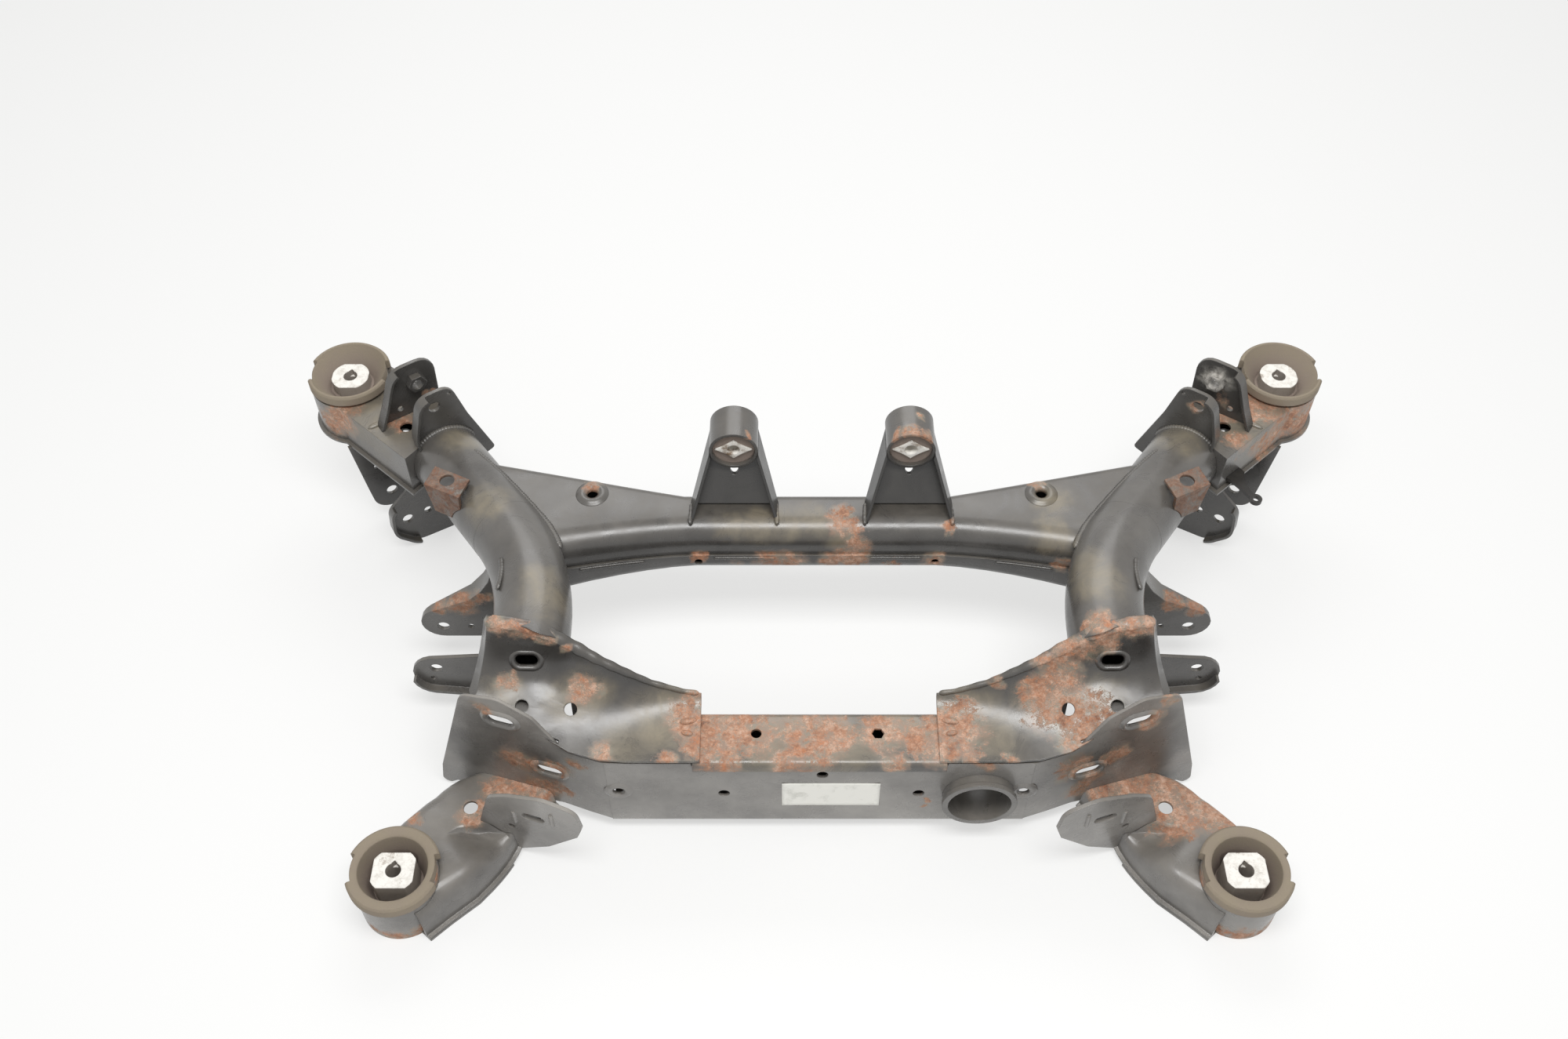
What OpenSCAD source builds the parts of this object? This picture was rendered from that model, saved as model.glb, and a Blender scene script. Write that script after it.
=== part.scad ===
// Rear axle subframe, welded steel, with rubber bushes.
// x to the right, y to the rear of the car, z up, floor at z = 0.
// Every side piece is drawn for the right side and mirrored for the left.

/* [Bush places] */
// half the distance between the front bush axes
front_bush_x = 394; // [385:1:403]
// half the distance between the rear bush axes
rear_bush_x = 501; // [492:1:510]
// half the distance from front to rear bush axes
bush_y = 260; // [253:1:267]
// height of the rear sleeves above the floor
rear_lift = 128; // [123:1:133]

/* [Body bushes] */
// outer diameter of a bush sleeve
sleeve_od = 80; // [77:0.5:83]
// wall of a bush sleeve
sleeve_wall = 3.5; // [2.5:0.5:4.5]
// height of a bush sleeve
sleeve_h = 54; // [50:1:58]
// outer diameter of the rubber rim
rim_d = 88; // [85:1:92]
// height of the rubber rim
rim_h = 11; // [8:1:14]
// inner diameter of the rim
cup_d = 64; // [58:1:68]
// width of the lip round a rear cup
lip_w = 5; // [4:0.5:7]
// width of the square core
core_w = 39; // [36:0.5:42]
// bolt bore of a bush core
bush_bore_d = 14.5; // [12:0.5:16]

/* [Side tubes] */
// outer diameter of a side tube
tube_od = 74; // [71:0.5:77]
// wall of a side tube
tube_wall = 3; // [2:0.5:4]
// distance of the straight tube end from the middle
tube_x = 270; // [266:1:274]
// height of the straight tube end
tube_z = 182; // [179:1:185]
// where the bend starts
bend_y = -75; // [-80:1:-70]
// radius of the bend
bend_r = 220; // [212:1:228]
// angle of the bend
bend_angle = 35; // [34:0.5:36]
// lean of the bend below the level
bend_lean = 15; // [13:0.5:17]
// where the straight rear end stops
tube_end = 194.5; // [186:0.5:200]

/* [Sheet metal] */
// sheet thickness of the shells
sheet = 3; // [2.5:0.1:3.5]
// plate thickness of the link ears
plate = 4; // [3:0.5:5]
// gap between lapped sheets
lap_gap = 0.2; // [0.1:0.05:0.4]

/* [Rear crossmember] */
// top of the rear crossmember
rear_top = 186; // [184:0.5:188]
// bottom of the rear crossmember
rear_bottom = 128; // [124:1:132]
// front wall in the middle
rear_front_y = 40; // [37:1:43]
// width in the middle
rear_width = 48; // [45:1:52]
// extra reach to the rear at the tubes
rear_flare = 56; // [50:1:60]
// extra reach to the front at the tubes
front_flare = 26; // [22:1:30]
// extra depth of the lower shell at the tubes
low_drop = 18; // [12:1:22]
// height of the seam on the front wall
seam_z = 147; // [144:1:150]

/* [Front crossmember] */
// front face of the front crossmember
face_y = -184; // [-186:0.5:-182]
// depth of the box
box_depth = 52; // [48:1:56]
// top of the middle strip
strip_z = 125; // [124:0.5:126]
// underside of the box
box_bottom = 12; // [8:1:15]
// half width of the flat middle
fold_x = 200; // [196:1:204]
// how far the link plates swing back
fold_angle = 16.4; // [15.5:0.1:17.5]
// half length of the bare strip
strip_half = 118; // [115:1:122]

/* [Front arms] */
// top of the arm at the crossmember
arm_top = 42; // [40:0.5:44]
// top of the arm at the bush
arm_top_bush = 46; // [44:0.5:48]

/* [Link holes] */
// bolt hole of the link ears
link_d = 12.5; // [10:0.5:14]
// rounding of an ear around its hole
ear_r = 23; // [21:0.5:26]
// height of the upper link holes
upper_z = 220; // [217:1:223]
// height of the lower link holes
lower_z = 40; // [37:1:43]
// height of the middle link holes
mid_z = 68; // [65:1:71]
// turn of the upper link axis away from straight back
upper_turn = 34; // [32:0.5:36]
// turn of the lower link axis away from straight back
lower_turn = 30; // [28:0.5:32]
// distance between the two upper ears
upper_gap = 47; // [45:1:50]
// distance between the two lower ears
lower_gap = 50; // [47:1:52]
// distance between the two middle ears
mid_gap = 52; // [50:1:56]

/* [Final drive mounts] */
// half distance of the rear drive bushes
drive_x = 87; // [82:1:92]
// shift of both rear drive bushes to the right
drive_shift = 4.5; // [2:0.5:7]
// height of the rear drive bushes
drive_z = 245; // [241:1:250]
// front end of the rear drive bushes
drive_y = 94; // [90:1:98]
// outer diameter of a drive bush sleeve
drive_od = 48; // [46:0.5:51]
// wall of a drive bush sleeve
drive_wall = 3; // [2:0.5:4]
// length of a drive bush sleeve
drive_len = 39; // [36:1:44]
// bolt bore of a drive bush
drive_bore_d = 12.5; // [10:0.5:14]
// sideways place of the front drive sleeve
nose_x = 152; // [147:1:157]
// height of the front drive sleeve
nose_z = 68; // [64:1:72]
// outer diameter of the front drive sleeve
nose_od = 68; // [64:1:72]
// inner diameter of the front drive sleeve
nose_id = 60; // [56:1:62]

/* [Hidden] */
$fn = 48;
tube_r = tube_od / 2;
sleeve_r = sleeve_od / 2;
rear_back_y = rear_front_y + rear_width;
tube_front_y = -145;
tube_run_len = bend_y - tube_front_y;
steel = [0.30, 0.29, 0.27];
rubber = [0.35, 0.32, 0.28];
alloy = [0.85, 0.84, 0.80];

// helpers: points, outlines and lofts
function unit(v) = v / norm(v);
function smooth(t) = t * t * (3 - 2 * t);
function ramp(a, b, v) = max(0, min(1, (v - a) / (b - a)));
function turn(a, b, c) = (b[0] - a[0]) * (c[1] - b[1]) - (b[1] - a[1]) * (c[0] - b[0]);

// a polygon [x, y, corner radius] with its corners rounded off
function rounded(p, n = 5) = [for (i = [0 : len(p) - 1])
    each corner(p[(i + len(p) - 1) % len(p)], p[i], p[(i + 1) % len(p)], n)];
function corner(a, b, c, n) = b[2] <= 0 ? [[b[0], b[1]]] :
    let(u = unit([a[0] - b[0], a[1] - b[1]]),
        v = unit([c[0] - b[0], c[1] - b[1]]),
        half = acos(max(-1, min(1, u * v))) / 2,
        mid = [b[0], b[1]] + unit(u + v) * b[2] / sin(half),
        side = turn(a, b, c) > 0 ? 1 : -1,
        from = atan2(-u[0], u[1]) + (side > 0 ? 180 : 0),
        sweep = side * (180 - 2 * half))
    [for (k = [0 : n]) mid + b[2] * [cos(from + sweep * k / n), sin(from + sweep * k / n)]];

// a convex polygon moved inwards
function inset(p, d) = [for (i = [0 : len(p) - 1])
    let(n = len(p),
        u = unit(p[(i + n - 1) % n] - p[i]),
        v = unit(p[(i + 1) % n] - p[i]),
        s = norm(u + v) < 0.001 ? [-u[1], u[0]] : unit(u + v),
        w = norm(u + v) < 0.001 ? 1 : sin(acos(max(-1, min(1, u * v))) / 2))
    p[i] + s * d / w];

// sheet strip along an open line, thickness on its left hand side
function strip(p, t) = concat(p, [for (i = [len(p) - 1 : -1 : 0]) p[i] + t * miter(p, i)]);
function leg_normal(a, b) = let(d = unit(b - a)) [-d[1], d[0]];
function miter(p, i) = i == 0 ? leg_normal(p[0], p[1]) :
    i == len(p) - 1 ? leg_normal(p[i - 1], p[i]) :
    let(a = leg_normal(p[i - 1], p[i]), b = leg_normal(p[i], p[i + 1]), m = unit(a + b))
    m / max(0.5, m * a);
function arc2(c, r, a0, a1, n) = [for (k = [0 : n])
    c + r * [cos(a0 + (a1 - a0) * k / n), sin(a0 + (a1 - a0) * k / n)]];
function bezier(a, b, c, n) = [for (k = [0 : n]) let(t = k / n)
    (1 - t) * (1 - t) * a + 2 * t * (1 - t) * b + t * t * c];

function sum(v, i = 0) = i >= len(v) ? 0 : v[i] + sum(v, i + 1);

// solid through equal strip rings, each ring a list of points in space
module loft(rings) {
    n = len(rings[0]);
    m = len(rings);
    k = n / 2;
    pts = [for (r = rings) each r];
    walls = [for (j = [0 : m - 2]) for (i = [0 : n - 1])
        each [[j * n + i, j * n + (i + 1) % n, (j + 1) * n + (i + 1) % n],
              [j * n + i, (j + 1) * n + (i + 1) % n, (j + 1) * n + i]]];
    head = [for (i = [0 : k - 2]) each [[i, n - 1 - i, i + 1], [i + 1, n - 1 - i, n - 2 - i]]];
    e = (m - 1) * n;
    tail = [for (i = [0 : k - 2])
        each [[e + i, e + i + 1, e + n - 1 - i], [e + i + 1, e + n - 2 - i, e + n - 1 - i]]];
    faces = concat(walls, head, tail);
    vol = sum([for (f = faces) pts[f[0]] * cross(pts[f[1]], pts[f[2]])]);
    polyhedron(pts, vol < 0 ? faces : [for (f = faces) [f[2], f[1], f[0]]], convexity = 8);
}

module on(side) {
    mirror([side < 0 ? 1 : 0, 0, 0]) children();
}

// plate in an upright plane: line u goes along the angle, z stays up
module upright(x, y, angle, t) {
    translate([x, y, 0]) rotate([0, 0, angle]) rotate([90, 0, 0])
        linear_extrude(t, center = true) children();
}

// side tube: centre line and solid run
function tube_out(s) = s <= 0 ? 0 : s < bend_r * sin(bend_angle) ?
    bend_r - sqrt(bend_r * bend_r - s * s) :
    bend_r * (1 - cos(bend_angle)) + (s - bend_r * sin(bend_angle)) * tan(bend_angle);
tube_tail = (tube_end - bend_y - bend_r * sin(bend_angle)) / cos(bend_angle);
function tube_cx(y) = tube_x + cos(bend_lean) * tube_out(y - bend_y);
function tube_cz(y) = tube_z - sin(bend_lean) * tube_out(y - bend_y);

// pipe profile, solid when the inner radius is zero
module pipe(r, inner) {
    difference() {
        circle(r);
        if (inner > 0) circle(inner);
    }
}

// the bend is a hair slimmer than the straight ends and reaches a little into them
module tube_run(r, inner, more = 0) {
    slim = 0.1;
    lap = 0.3;
    translate([tube_x, bend_y, tube_z]) rotate([0, bend_lean, 0]) {
        translate([0, -tube_run_len, 0]) rotate([-90, 0, 0])
            linear_extrude(tube_run_len) pipe(r, inner);
        translate([bend_r, 0, 0]) rotate([0, 0, 180 - bend_angle - lap])
            rotate_extrude(angle = bend_angle + 2 * lap, $fn = 96)
                translate([bend_r, 0]) pipe(r - slim, inner > 0 ? inner + slim : 0);
        translate([bend_r * (1 - cos(bend_angle)), bend_r * sin(bend_angle), 0])
            rotate([0, 0, -bend_angle]) rotate([-90, 0, 0])
                linear_extrude(tube_tail + more) pipe(r, inner);
    }
}

module tube_solid(r) {
    tube_run(r, 0, 2);
}

module tube_body() {
    difference() {
        tube_run(tube_r, tube_r - tube_wall);
        wing_block();
    }
}

module side_tube(side) {
    color(steel) on(side) tube_body();
}

// rear crossmember: two lapped shells between the tubes
front_roll = 22;
function flare(f) = pow(ramp(0.38, 1, abs(f)), 1.5);
function rear_yr(f) = rear_back_y + rear_flare * pow(ramp(0.34, 1, abs(f)), 1.12);
function rear_yf(f) = rear_front_y - front_flare * flare(f);
function rear_line(yr, yf, top, low_r, low_f) = concat(
    [[yf + 2, low_f]],
    arc2([yf + front_roll, top - front_roll], front_roll, 180, 90, 6),
    arc2([yr - 10, top - 10], 10, 90, 0, 4),
    [[yr - 1, low_r]]);
function across(line, t, f) = [for (q = strip(line, -t))
    [f * tube_cx(max(-60, min(200, q[0]))), q[0], q[1]]];
rear_steps = [-1, -0.94, -0.86, -0.77, -0.67, -0.57, -0.48, -0.4, 0.4, 0.48, 0.57, 0.67, 0.77,
              0.86, 0.94, 1];

module rear_crossmember_upper() {
    color(steel) difference() {
        loft([for (f = rear_steps)
            across(rear_line(rear_yr(f), rear_yf(f), rear_top, seam_z - 8, seam_z), sheet, f)]);
        for (side = [-1, 1]) on(side) {
            tube_solid(tube_r);
            translate([226, 90, rear_top - 20]) cylinder(h = 40, d = 11);
        }
    }
}

function low_line(yr, yf, high_r, high_f, low) = concat(
    [[yf, high_f]],
    arc2([yf + 12, low + 12], 12, 180, 270, 4),
    arc2([yr - 12, low + 12], 12, 270, 360, 4),
    [[yr, high_r]]);
module rear_crossmember_lower() {
    in = sheet + lap_gap + 2;
    color(steel) difference() {
        loft([for (f = rear_steps) across(low_line(rear_yr(f) - in, rear_yf(f) + 1.3 - sheet, seam_z + 4,
            seam_z + 4, rear_bottom - low_drop * flare(f)), -sheet, f)]);
        for (side = [-1, 1]) on(side) {
            tube_solid(tube_r);
            translate([119, rear_front_y - 20, seam_z - 5.5]) rotate([-90, 0, 0])
                cylinder(h = 30, d = 8);
        }
    }
}

// front crossmember: top strip with rear wall, and front plate with bottom
box_back_y = face_y + box_depth;
module front_crossmember_rear() {
    lip = face_y - lap_gap;
    top = strip_z - lap_gap;
    color(steel) difference() {
        union() {
            translate([-strip_half, 0, 0]) rotate([90, 0, 90]) linear_extrude(2 * strip_half)
                polygon(strip(concat([[lip, top - 12]],
                    arc2([lip + 3, top - sheet - 3], 3, 180, 90, 3),
                    arc2([box_back_y - 4, top - sheet - 4], 4, 90, 0, 3),
                    [[box_back_y, box_bottom + sheet]]), sheet));
            for (side = [-1, 1]) on(side) rotate([90, 0, 0])
                translate([0, 0, -box_back_y - sheet]) linear_extrude(sheet)
                    polygon([[strip_half - 1, box_bottom + sheet], [235, box_bottom + sheet],
                        [232, strip_z + 22], [207, strip_z + 16], [186, strip_z + 9],
                        [158, strip_z + 1], [strip_half - 1, strip_z - 8]]);
        }
        translate([-59, face_y + 31, top - 10]) cylinder(h = 20, d = 10);
        translate([55, face_y + 31, top - 10]) cylinder(h = 20, d = 12, $fn = 6);
        nose_hole();
    }
}

module nose_hole() {
    translate([nose_x, face_y - 40, nose_z]) rotate([-90, 0, 0]) cylinder(h = 140, d = nose_od);
}

// outline of a link plate: [distance from the fold, height, corner radius]
module link_plate_shape() {
    difference() {
        polygon(rounded([[0, box_bottom + 7, 0], [24, box_bottom + 9, 10], [50, 25, 4],
            [166, 12, 4], [174, 5, 4], [183, 6, 6], [178, 37, 10], [136, 178, 14],
            [98, 186, 20], [66, 168, 12], [40, 124, 16], [0, 122, 0]]));
        slot(99, 152, 14);
        slot(59, 82, 14);
    }
}
// the link plates start just inside the front plate and turn back
module fold_place() {
    translate([fold_x - 0.5, face_y + lap_gap, 0]) rotate([0, 0, fold_angle]) rotate([90, 0, 0])
        children();
}
module slot(x, z, d) {
    translate([x - 6, z]) circle(d = d);
    translate([x + 6, z]) circle(d = d);
    translate([x - 6, z - d / 2]) square([12, d]);
}

module front_crossmember_front() {
    color(steel) difference() {
        union() {
            translate([-fold_x, 0, 0]) rotate([90, 0, 90]) linear_extrude(2 * fold_x)
                polygon(strip(concat([[face_y, 122]],
                    arc2([face_y + 8, box_bottom + 8], 8, 180, 270, 4),
                    [[box_back_y + sheet, box_bottom]]), sheet));
            for (side = [-1, 1]) on(side) fold_place() translate([0, 0, -sheet])
                linear_extrude(sheet) link_plate_shape();
        }
        nose_hole();
        translate([-strip_half - 1, face_y - 1, strip_z - sheet - 3 - 2 * lap_gap])
            cube([2 * strip_half + 2, sheet + 2, 20]);
        for (side = [-1, 1]) on(side) arm_fill();
        for (x = [-90, 95]) face_hole(x, nose_z, 11);
        face_hole(3, 102, 11);
        for (x = [-190, 194]) face_hole(x, 72, 11);
    }
}
module face_hole(x, z, d) {
    translate([x, face_y - 10, z]) rotate([-90, 0, 0]) cylinder(h = 20, d = d);
}

// front sleeve for the nose of the final drive
module nose_sleeve() {
    color(steel) translate([nose_x, face_y - 13, nose_z]) rotate([-90, 0, 0]) difference() {
        union() {
            cylinder(h = box_depth + sheet + 13, d = nose_od);
            cylinder(h = 5, d = nose_od + 3);
        }
        translate([0, 0, -1]) cylinder(h = box_depth + 30, d = nose_id);
    }
}

// wing: stamped gusset from the strip up over the tube end
// rows: [top x, top y, top z, pull y, pull z, low x, low y, low z, lip]
wing_from = 111;
function wing_x(k) = wing_from + k * (tube_x - 43 - wing_from);
wing_rows = [
    [wing_from, -118, 138, -121, 127, wing_from, -185, 128, 0],
    [wing_x(0.155), -118, 142, -121, 127, wing_x(0.155), -185, 128, 0],
    [wing_x(0.405), -117, 154, -121, 128, wing_x(0.405), -185, 128, 1],
    [wing_x(0.647), -115, 171, -120, 132, wing_x(0.595), -185, 128, 3],
    [wing_x(0.828), -112, 183, -118, 138, wing_x(0.802), -184, 129, 5],
    [tube_x - 43, -108, tube_z + 13, -116, 145, tube_x - 38, -178, 133, 8],
    [tube_x - 24, -104, tube_z + 25, -112, 152, tube_x - 12, -166, 143, 9],
    [tube_x - 2, -101, tube_z + 34, -108, 160, tube_x + 14, -153, 150, 9],
    [tube_x + 20, -100, tube_z + 39, -106, 164, tube_x + 38, -146, 154, 9],
    [tube_x + 32, -98, tube_z + 38, -105, 166, tube_x + 51, -141, 156, 8],
    [tube_x + 38, -84, tube_z + 28, -92, 164, tube_x + 57, -124, 154, 5]];
function wing_ring(w, lift, t = sheet) = let(line = concat([[w[1] + w[8] + 2, w[2] - 1]],
            bezier([w[1], w[2]], [w[3], w[4]], [w[6], w[7]], 8)),
        ring = strip([for (q = line) [q[0], q[1] + lift]], t), n = len(line))
    [for (i = [0 : len(ring) - 1]) let(u = (i < n ? i : 2 * n - 1 - i) / (n - 1))
        [w[0] + (w[5] - w[0]) * u, ring[i][0], ring[i][1]]];

// everything in front of the inner face of the wing
function wing_in(w, lift) = let(ring = wing_ring(w, lift, sheet + lap_gap), n = len(ring) / 2)
    [for (i = [len(ring) - 1 : -1 : n]) ring[i]];
module wing_block() {
    loft([for (w = wing_rows) let(line = wing_in(w, strip_z - 125), n = len(line))
        concat(line, [for (i = [n - 1 : -1 : 0]) line[i] + [0, -55, 43]])]);
}

module wing(side) {
    color(steel) on(side) difference() {
        loft([for (w = wing_rows) wing_ring(w, strip_z - 125)]);
        link_slab();
        intersection() {
            tube_solid(tube_r + lap_gap);
            translate([150, -97.5, 100]) cube([250, 100, 200]);
        }
        wing_hole(tube_x + 1, -110, tube_z + 1, 60) {
            for (x = [-5, 5]) translate([x, 0, -25]) cylinder(h = 50, d = 11);
            translate([-5, -5.5, -25]) cube([10, 11, 50]);
        }
        wing_hole(tube_x + 6, -141, 153, 25) translate([0, 0, -20]) cylinder(h = 40, d = 12);
        wing_hole(tube_x - 38.5, -141, 148, 25) translate([0, 0, -20]) cylinder(h = 40, d = 12);
    }
}
module wing_hole(x, y, z, angle) {
    translate([x, y, z]) rotate([angle, 0, 0]) children();
}
// room the link plate needs behind the lower edge of the wing
module link_slab() {
    fold_place() translate([0, 0, -sheet - lap_gap]) linear_extrude(sheet + 2 * lap_gap)
        polygon([[30, 90], [190, 90], [150, 178], [98, 188], [64, 171], [37, 126]]);
}
// front arm, drawn along the line from the bush to its place on the crossmember
arm_from = [front_bush_x, -bush_y];
arm_to = [fold_x + 100, face_y + 34];
arm_len = norm(arm_to - arm_from);
arm_dir = unit(arm_to - arm_from);
arm_side = [-arm_dir[1], arm_dir[0]];
function arm_at(a, c) = arm_from + a * arm_dir + c * arm_side;
arm_half = sleeve_r + 2;
arm_low = 2 * sheet + lap_gap;
// rows: [along, rear edge, front edge, top, low front, step place, step depth, front roll]
arm_rows = [
    [-12, -arm_half, arm_half + 5, arm_top_bush, arm_low, 0, 0, 20],
    [0.09 * arm_len, -arm_half - 1, arm_half + 7.5, arm_top_bush, arm_low, 0, 0, 20],
    [0.30 * arm_len, -arm_half - 3, arm_half + 12, arm_top_bush - 1, arm_low, 0, 0, 20],
    [0.42 * arm_len, -arm_half - 3, arm_half + 11.5, arm_top + 2, arm_low, -2, 0, 20],
    [0.50 * arm_len, -arm_half - 3, arm_half + 10.5, arm_top + 1, arm_low, 0, 6, 17],
    [0.57 * arm_len, -arm_half - 2, arm_half + 9, arm_top, arm_low, 8, 11, 14],
    [0.635 * arm_len, -arm_half - 2, arm_half + 7, arm_top, arm_low, 14, 13, 12],
    [0.70 * arm_len, -arm_half - 1, arm_half + 4.5, arm_top, arm_low + 1, 28, 12, 7],
    [0.76 * arm_len, -arm_half + 1, arm_half + 2, arm_top, arm_low + 4, 20, 0, 8],
    [0.926 * arm_len, -30, arm_half + 2, arm_top, 16, 20, 0, 8],
    [1.106 * arm_len, -3, arm_half + 2, arm_top, 20, 22, 0, 8]];
// section from the rear flange over the top and the pressed step to the front flange
function arm_line(a) = let(w = a[2] - a[1], top = a[3], low = a[4], s = a[5] - a[1], d = a[6], r = a[7])
    concat([[-4, arm_low], [0, arm_low + 0.5]], arc2([14, top - 13], 13, 170, 90, 4),
        [[s, top], [s + 2.5, top - 0.16 * d], [s + 5.5, top - 0.84 * d], [s + 8, top - d]],
        arc2([w - r - 1.5, top - d - r], r, 90, 8, 6), [[w, low + 0.5], [w + 4, low]]);
function arm_points(a, line) = [for (q = line) let(p = arm_at(a[0], a[1] + q[0])) [p[0], p[1], q[1]]];
// the whole room inside the arm, to fit other pieces against it
module arm_fill() {
    loft([for (a = arm_rows) let(line = arm_line(a), n = len(line))
        concat(arm_points(a, line), arm_points(a, [for (i = [n - 1 : -1 : 0]) [line[i][0], -1]]))]);
}

module front_arm_upper(side) {
    hole = arm_at(0.66 * arm_len, -4);
    color(steel) on(side) difference() {
        loft([for (a = arm_rows) arm_points(a, strip(arm_line(a), -sheet))]);
        translate([front_bush_x, -bush_y, -10]) cylinder(h = 90, r = sleeve_r);
        translate([hole[0], hole[1], 20]) cylinder(h = 40, d = 14);
    }
}

module front_arm_lower(side) {
    hole = arm_at(0.45 * arm_len, 4);
    color(steel) on(side) difference() {
        linear_extrude(sheet) polygon(concat(
            [for (i = [0 : 6]) arm_at(arm_rows[i][0], arm_rows[i][1] - 4)],
            [for (i = [6 : -1 : 0]) arm_at(arm_rows[i][0], arm_rows[i][2] + 4)]));
        translate([front_bush_x, -bush_y, -10]) cylinder(h = 90, r = sleeve_r);
        translate([hole[0], hole[1], -10]) cylinder(h = 40, d = 20);
    }
}

// slotted bracket standing on the arm, with two stops beside its slot
link_at = [fold_x + 66, face_y - 30];
link_z = 77;
module front_link_bracket(side) {
    color(steel) on(side) difference() {
        union() {
            upright(link_at[0], link_at[1], fold_angle, plate) difference() {
                polygon(rounded([[27, 4, 0], [62, 28, 0], [59, 46, 0], [45, 94, 14], [24, 105, 16],
                    [-12, 114, 30], [-44, 106, 14], [-48, 80, 8], [-42, 62, 5], [-9, 27, 6]]));
                slot(1, link_z, 11);
                translate([26, 50]) circle(d = 7);
            }
            for (u = [[20.5, 61], [-18.5, 73]])
                translate([link_at[0], link_at[1], 0]) rotate([0, 0, fold_angle])
                    translate([u[0], -plate / 2, u[1]]) cylinder(h = 19, d = 4, $fn = 24);
        }
        arm_fill();
    }
}

// sleeves, rubbers and cores of the body bushes
module bush_place(side, rear) {
    translate([side * (rear ? rear_bush_x : front_bush_x), rear ? bush_y : -bush_y,
        rear ? rear_lift : 0]) children();
}

module bush_sleeve(side, rear) {
    color(steel) bush_place(side, rear) difference() {
        cylinder(h = sleeve_h, r = sleeve_r);
        translate([0, 0, -1]) cylinder(h = sleeve_h + 2, r = sleeve_r - sleeve_wall);
    }
}

// square core, rounder in the rear bushes
module core_shape(rear) {
    intersection() {
        square([core_w, core_w - 3], center = true);
        circle(d = core_w * (rear ? 1.03 : 1.15));
    }
}

function cup_line(rear, top, low) = rear ?
    [[rim_d / 2 - 1.5, top], [rim_d / 2 - lip_w + 1, top], [rim_d / 2 - lip_w, top - 1.5],
        [rim_d / 2 - lip_w - 5, top - 8], [core_w * 0.66, top - 18], [core_w * 0.58, low]] :
    [[rim_d / 2 - 2, top], [cup_d / 2 + 3, top], [cup_d / 2 + 0.5, top - 1.5],
        [cup_d / 2 - 1, top - 8], [core_w * 0.66, low + 8], [core_w * 0.6, low]];
module bush_rubber(side, rear) {
    r = sleeve_r - sleeve_wall;
    top = sleeve_h + rim_h;
    low = rear ? top - 22 : top - 34;
    color(rubber) bush_place(side, rear) difference() {
        rotate_extrude() polygon(concat([[0, 4], [r, 4], [r, sleeve_h], [rim_d / 2, sleeve_h],
            [rim_d / 2, top - 2]], cup_line(rear, top, low), [[0, low]]));
        for (a = [52, 232]) rotate([0, 0, a]) rotate_extrude(angle = 76)
            translate([core_w * 0.6 + 0.8, low - 14])
                square([cup_d / 2 - core_w * 0.6 - 5, rear ? 15 : 30]);
        for (a = [-20, 160]) rotate([0, 0, a]) rotate_extrude(angle = 40)
            translate([sleeve_r - 1, sleeve_h - 1]) square([20, rim_h + 5]);
        translate([0, 0, -1]) linear_extrude(sleeve_h + 20) core_shape(rear);
    }
}

module bush_core(side, rear) {
    tall = sleeve_h + (rear ? 0 : 4);
    color(alloy) bush_place(side, rear) difference() {
        translate([0, 0, 2]) linear_extrude(tall) core_shape(rear);
        translate([0, 0, -1]) cylinder(h = sleeve_h + 20, d = bush_bore_d);
        translate([0, bush_bore_d / 2, tall - 6]) rotate([0, 0, 45])
            translate([-2, -2, 0]) cube([4, 4, 20]);
    }
}

// rear box from the tube end to the rear sleeve
box_top = 178;
box_low = 126;
tail_y = tube_end - 14.5;
tail = [tube_cx(tail_y), tail_y];
box_dir = unit([rear_bush_x, bush_y] - tail);
box_left = [-box_dir[1], box_dir[0]];
box_len = norm([rear_bush_x, bush_y] - tail);
box_plan = [tail - box_left * 46 + box_dir * 2, [rear_bush_x, bush_y] - box_left * 36,
    [rear_bush_x, bush_y] + box_left * 40, tail + box_left * 40 + box_dir * 2];
function box_at(a, c) = tail + a * box_dir + c * box_left;

// the shells wrap round the front of the sleeve
module rear_box_upper(side) {
    hole = box_at(0.257 * box_len, -13);
    color(steel) on(side) difference() {
        translate([0, 0, box_low + sheet]) linear_extrude(box_top - box_low - sheet) {
            polygon(box_plan);
            translate([rear_bush_x, bush_y]) circle(sleeve_r + sheet);
        }
        translate([0, 0, box_low]) linear_extrude(box_top - box_low - sheet)
            polygon(inset(box_plan, sheet));
        translate([rear_bush_x, bush_y, 50]) cylinder(h = 200, r = sleeve_r);
        tube_solid(tube_r);
        translate([hole[0], hole[1], box_top - 20]) cylinder(h = 40, d = 14);
    }
}

module rear_box_lower(side) {
    hole = box_at(0.514 * box_len, 2);
    color(steel) on(side) difference() {
        translate([0, 0, box_low]) linear_extrude(sheet) {
            polygon(inset(box_plan, -4));
            translate([rear_bush_x, bush_y]) circle(sleeve_r + sheet);
            translate([rear_bush_x, bush_y]) intersection() {
                circle(sleeve_r + sheet + 4);
                translate([-60, -60]) square([120, 60]);
            }
        }
        translate([rear_bush_x, bush_y, 50]) cylinder(h = 200, r = sleeve_r);
        tube_solid(tube_r);
        translate([hole[0], hole[1], box_low - 20]) cylinder(h = 40, d = 22);
    }
}

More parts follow.
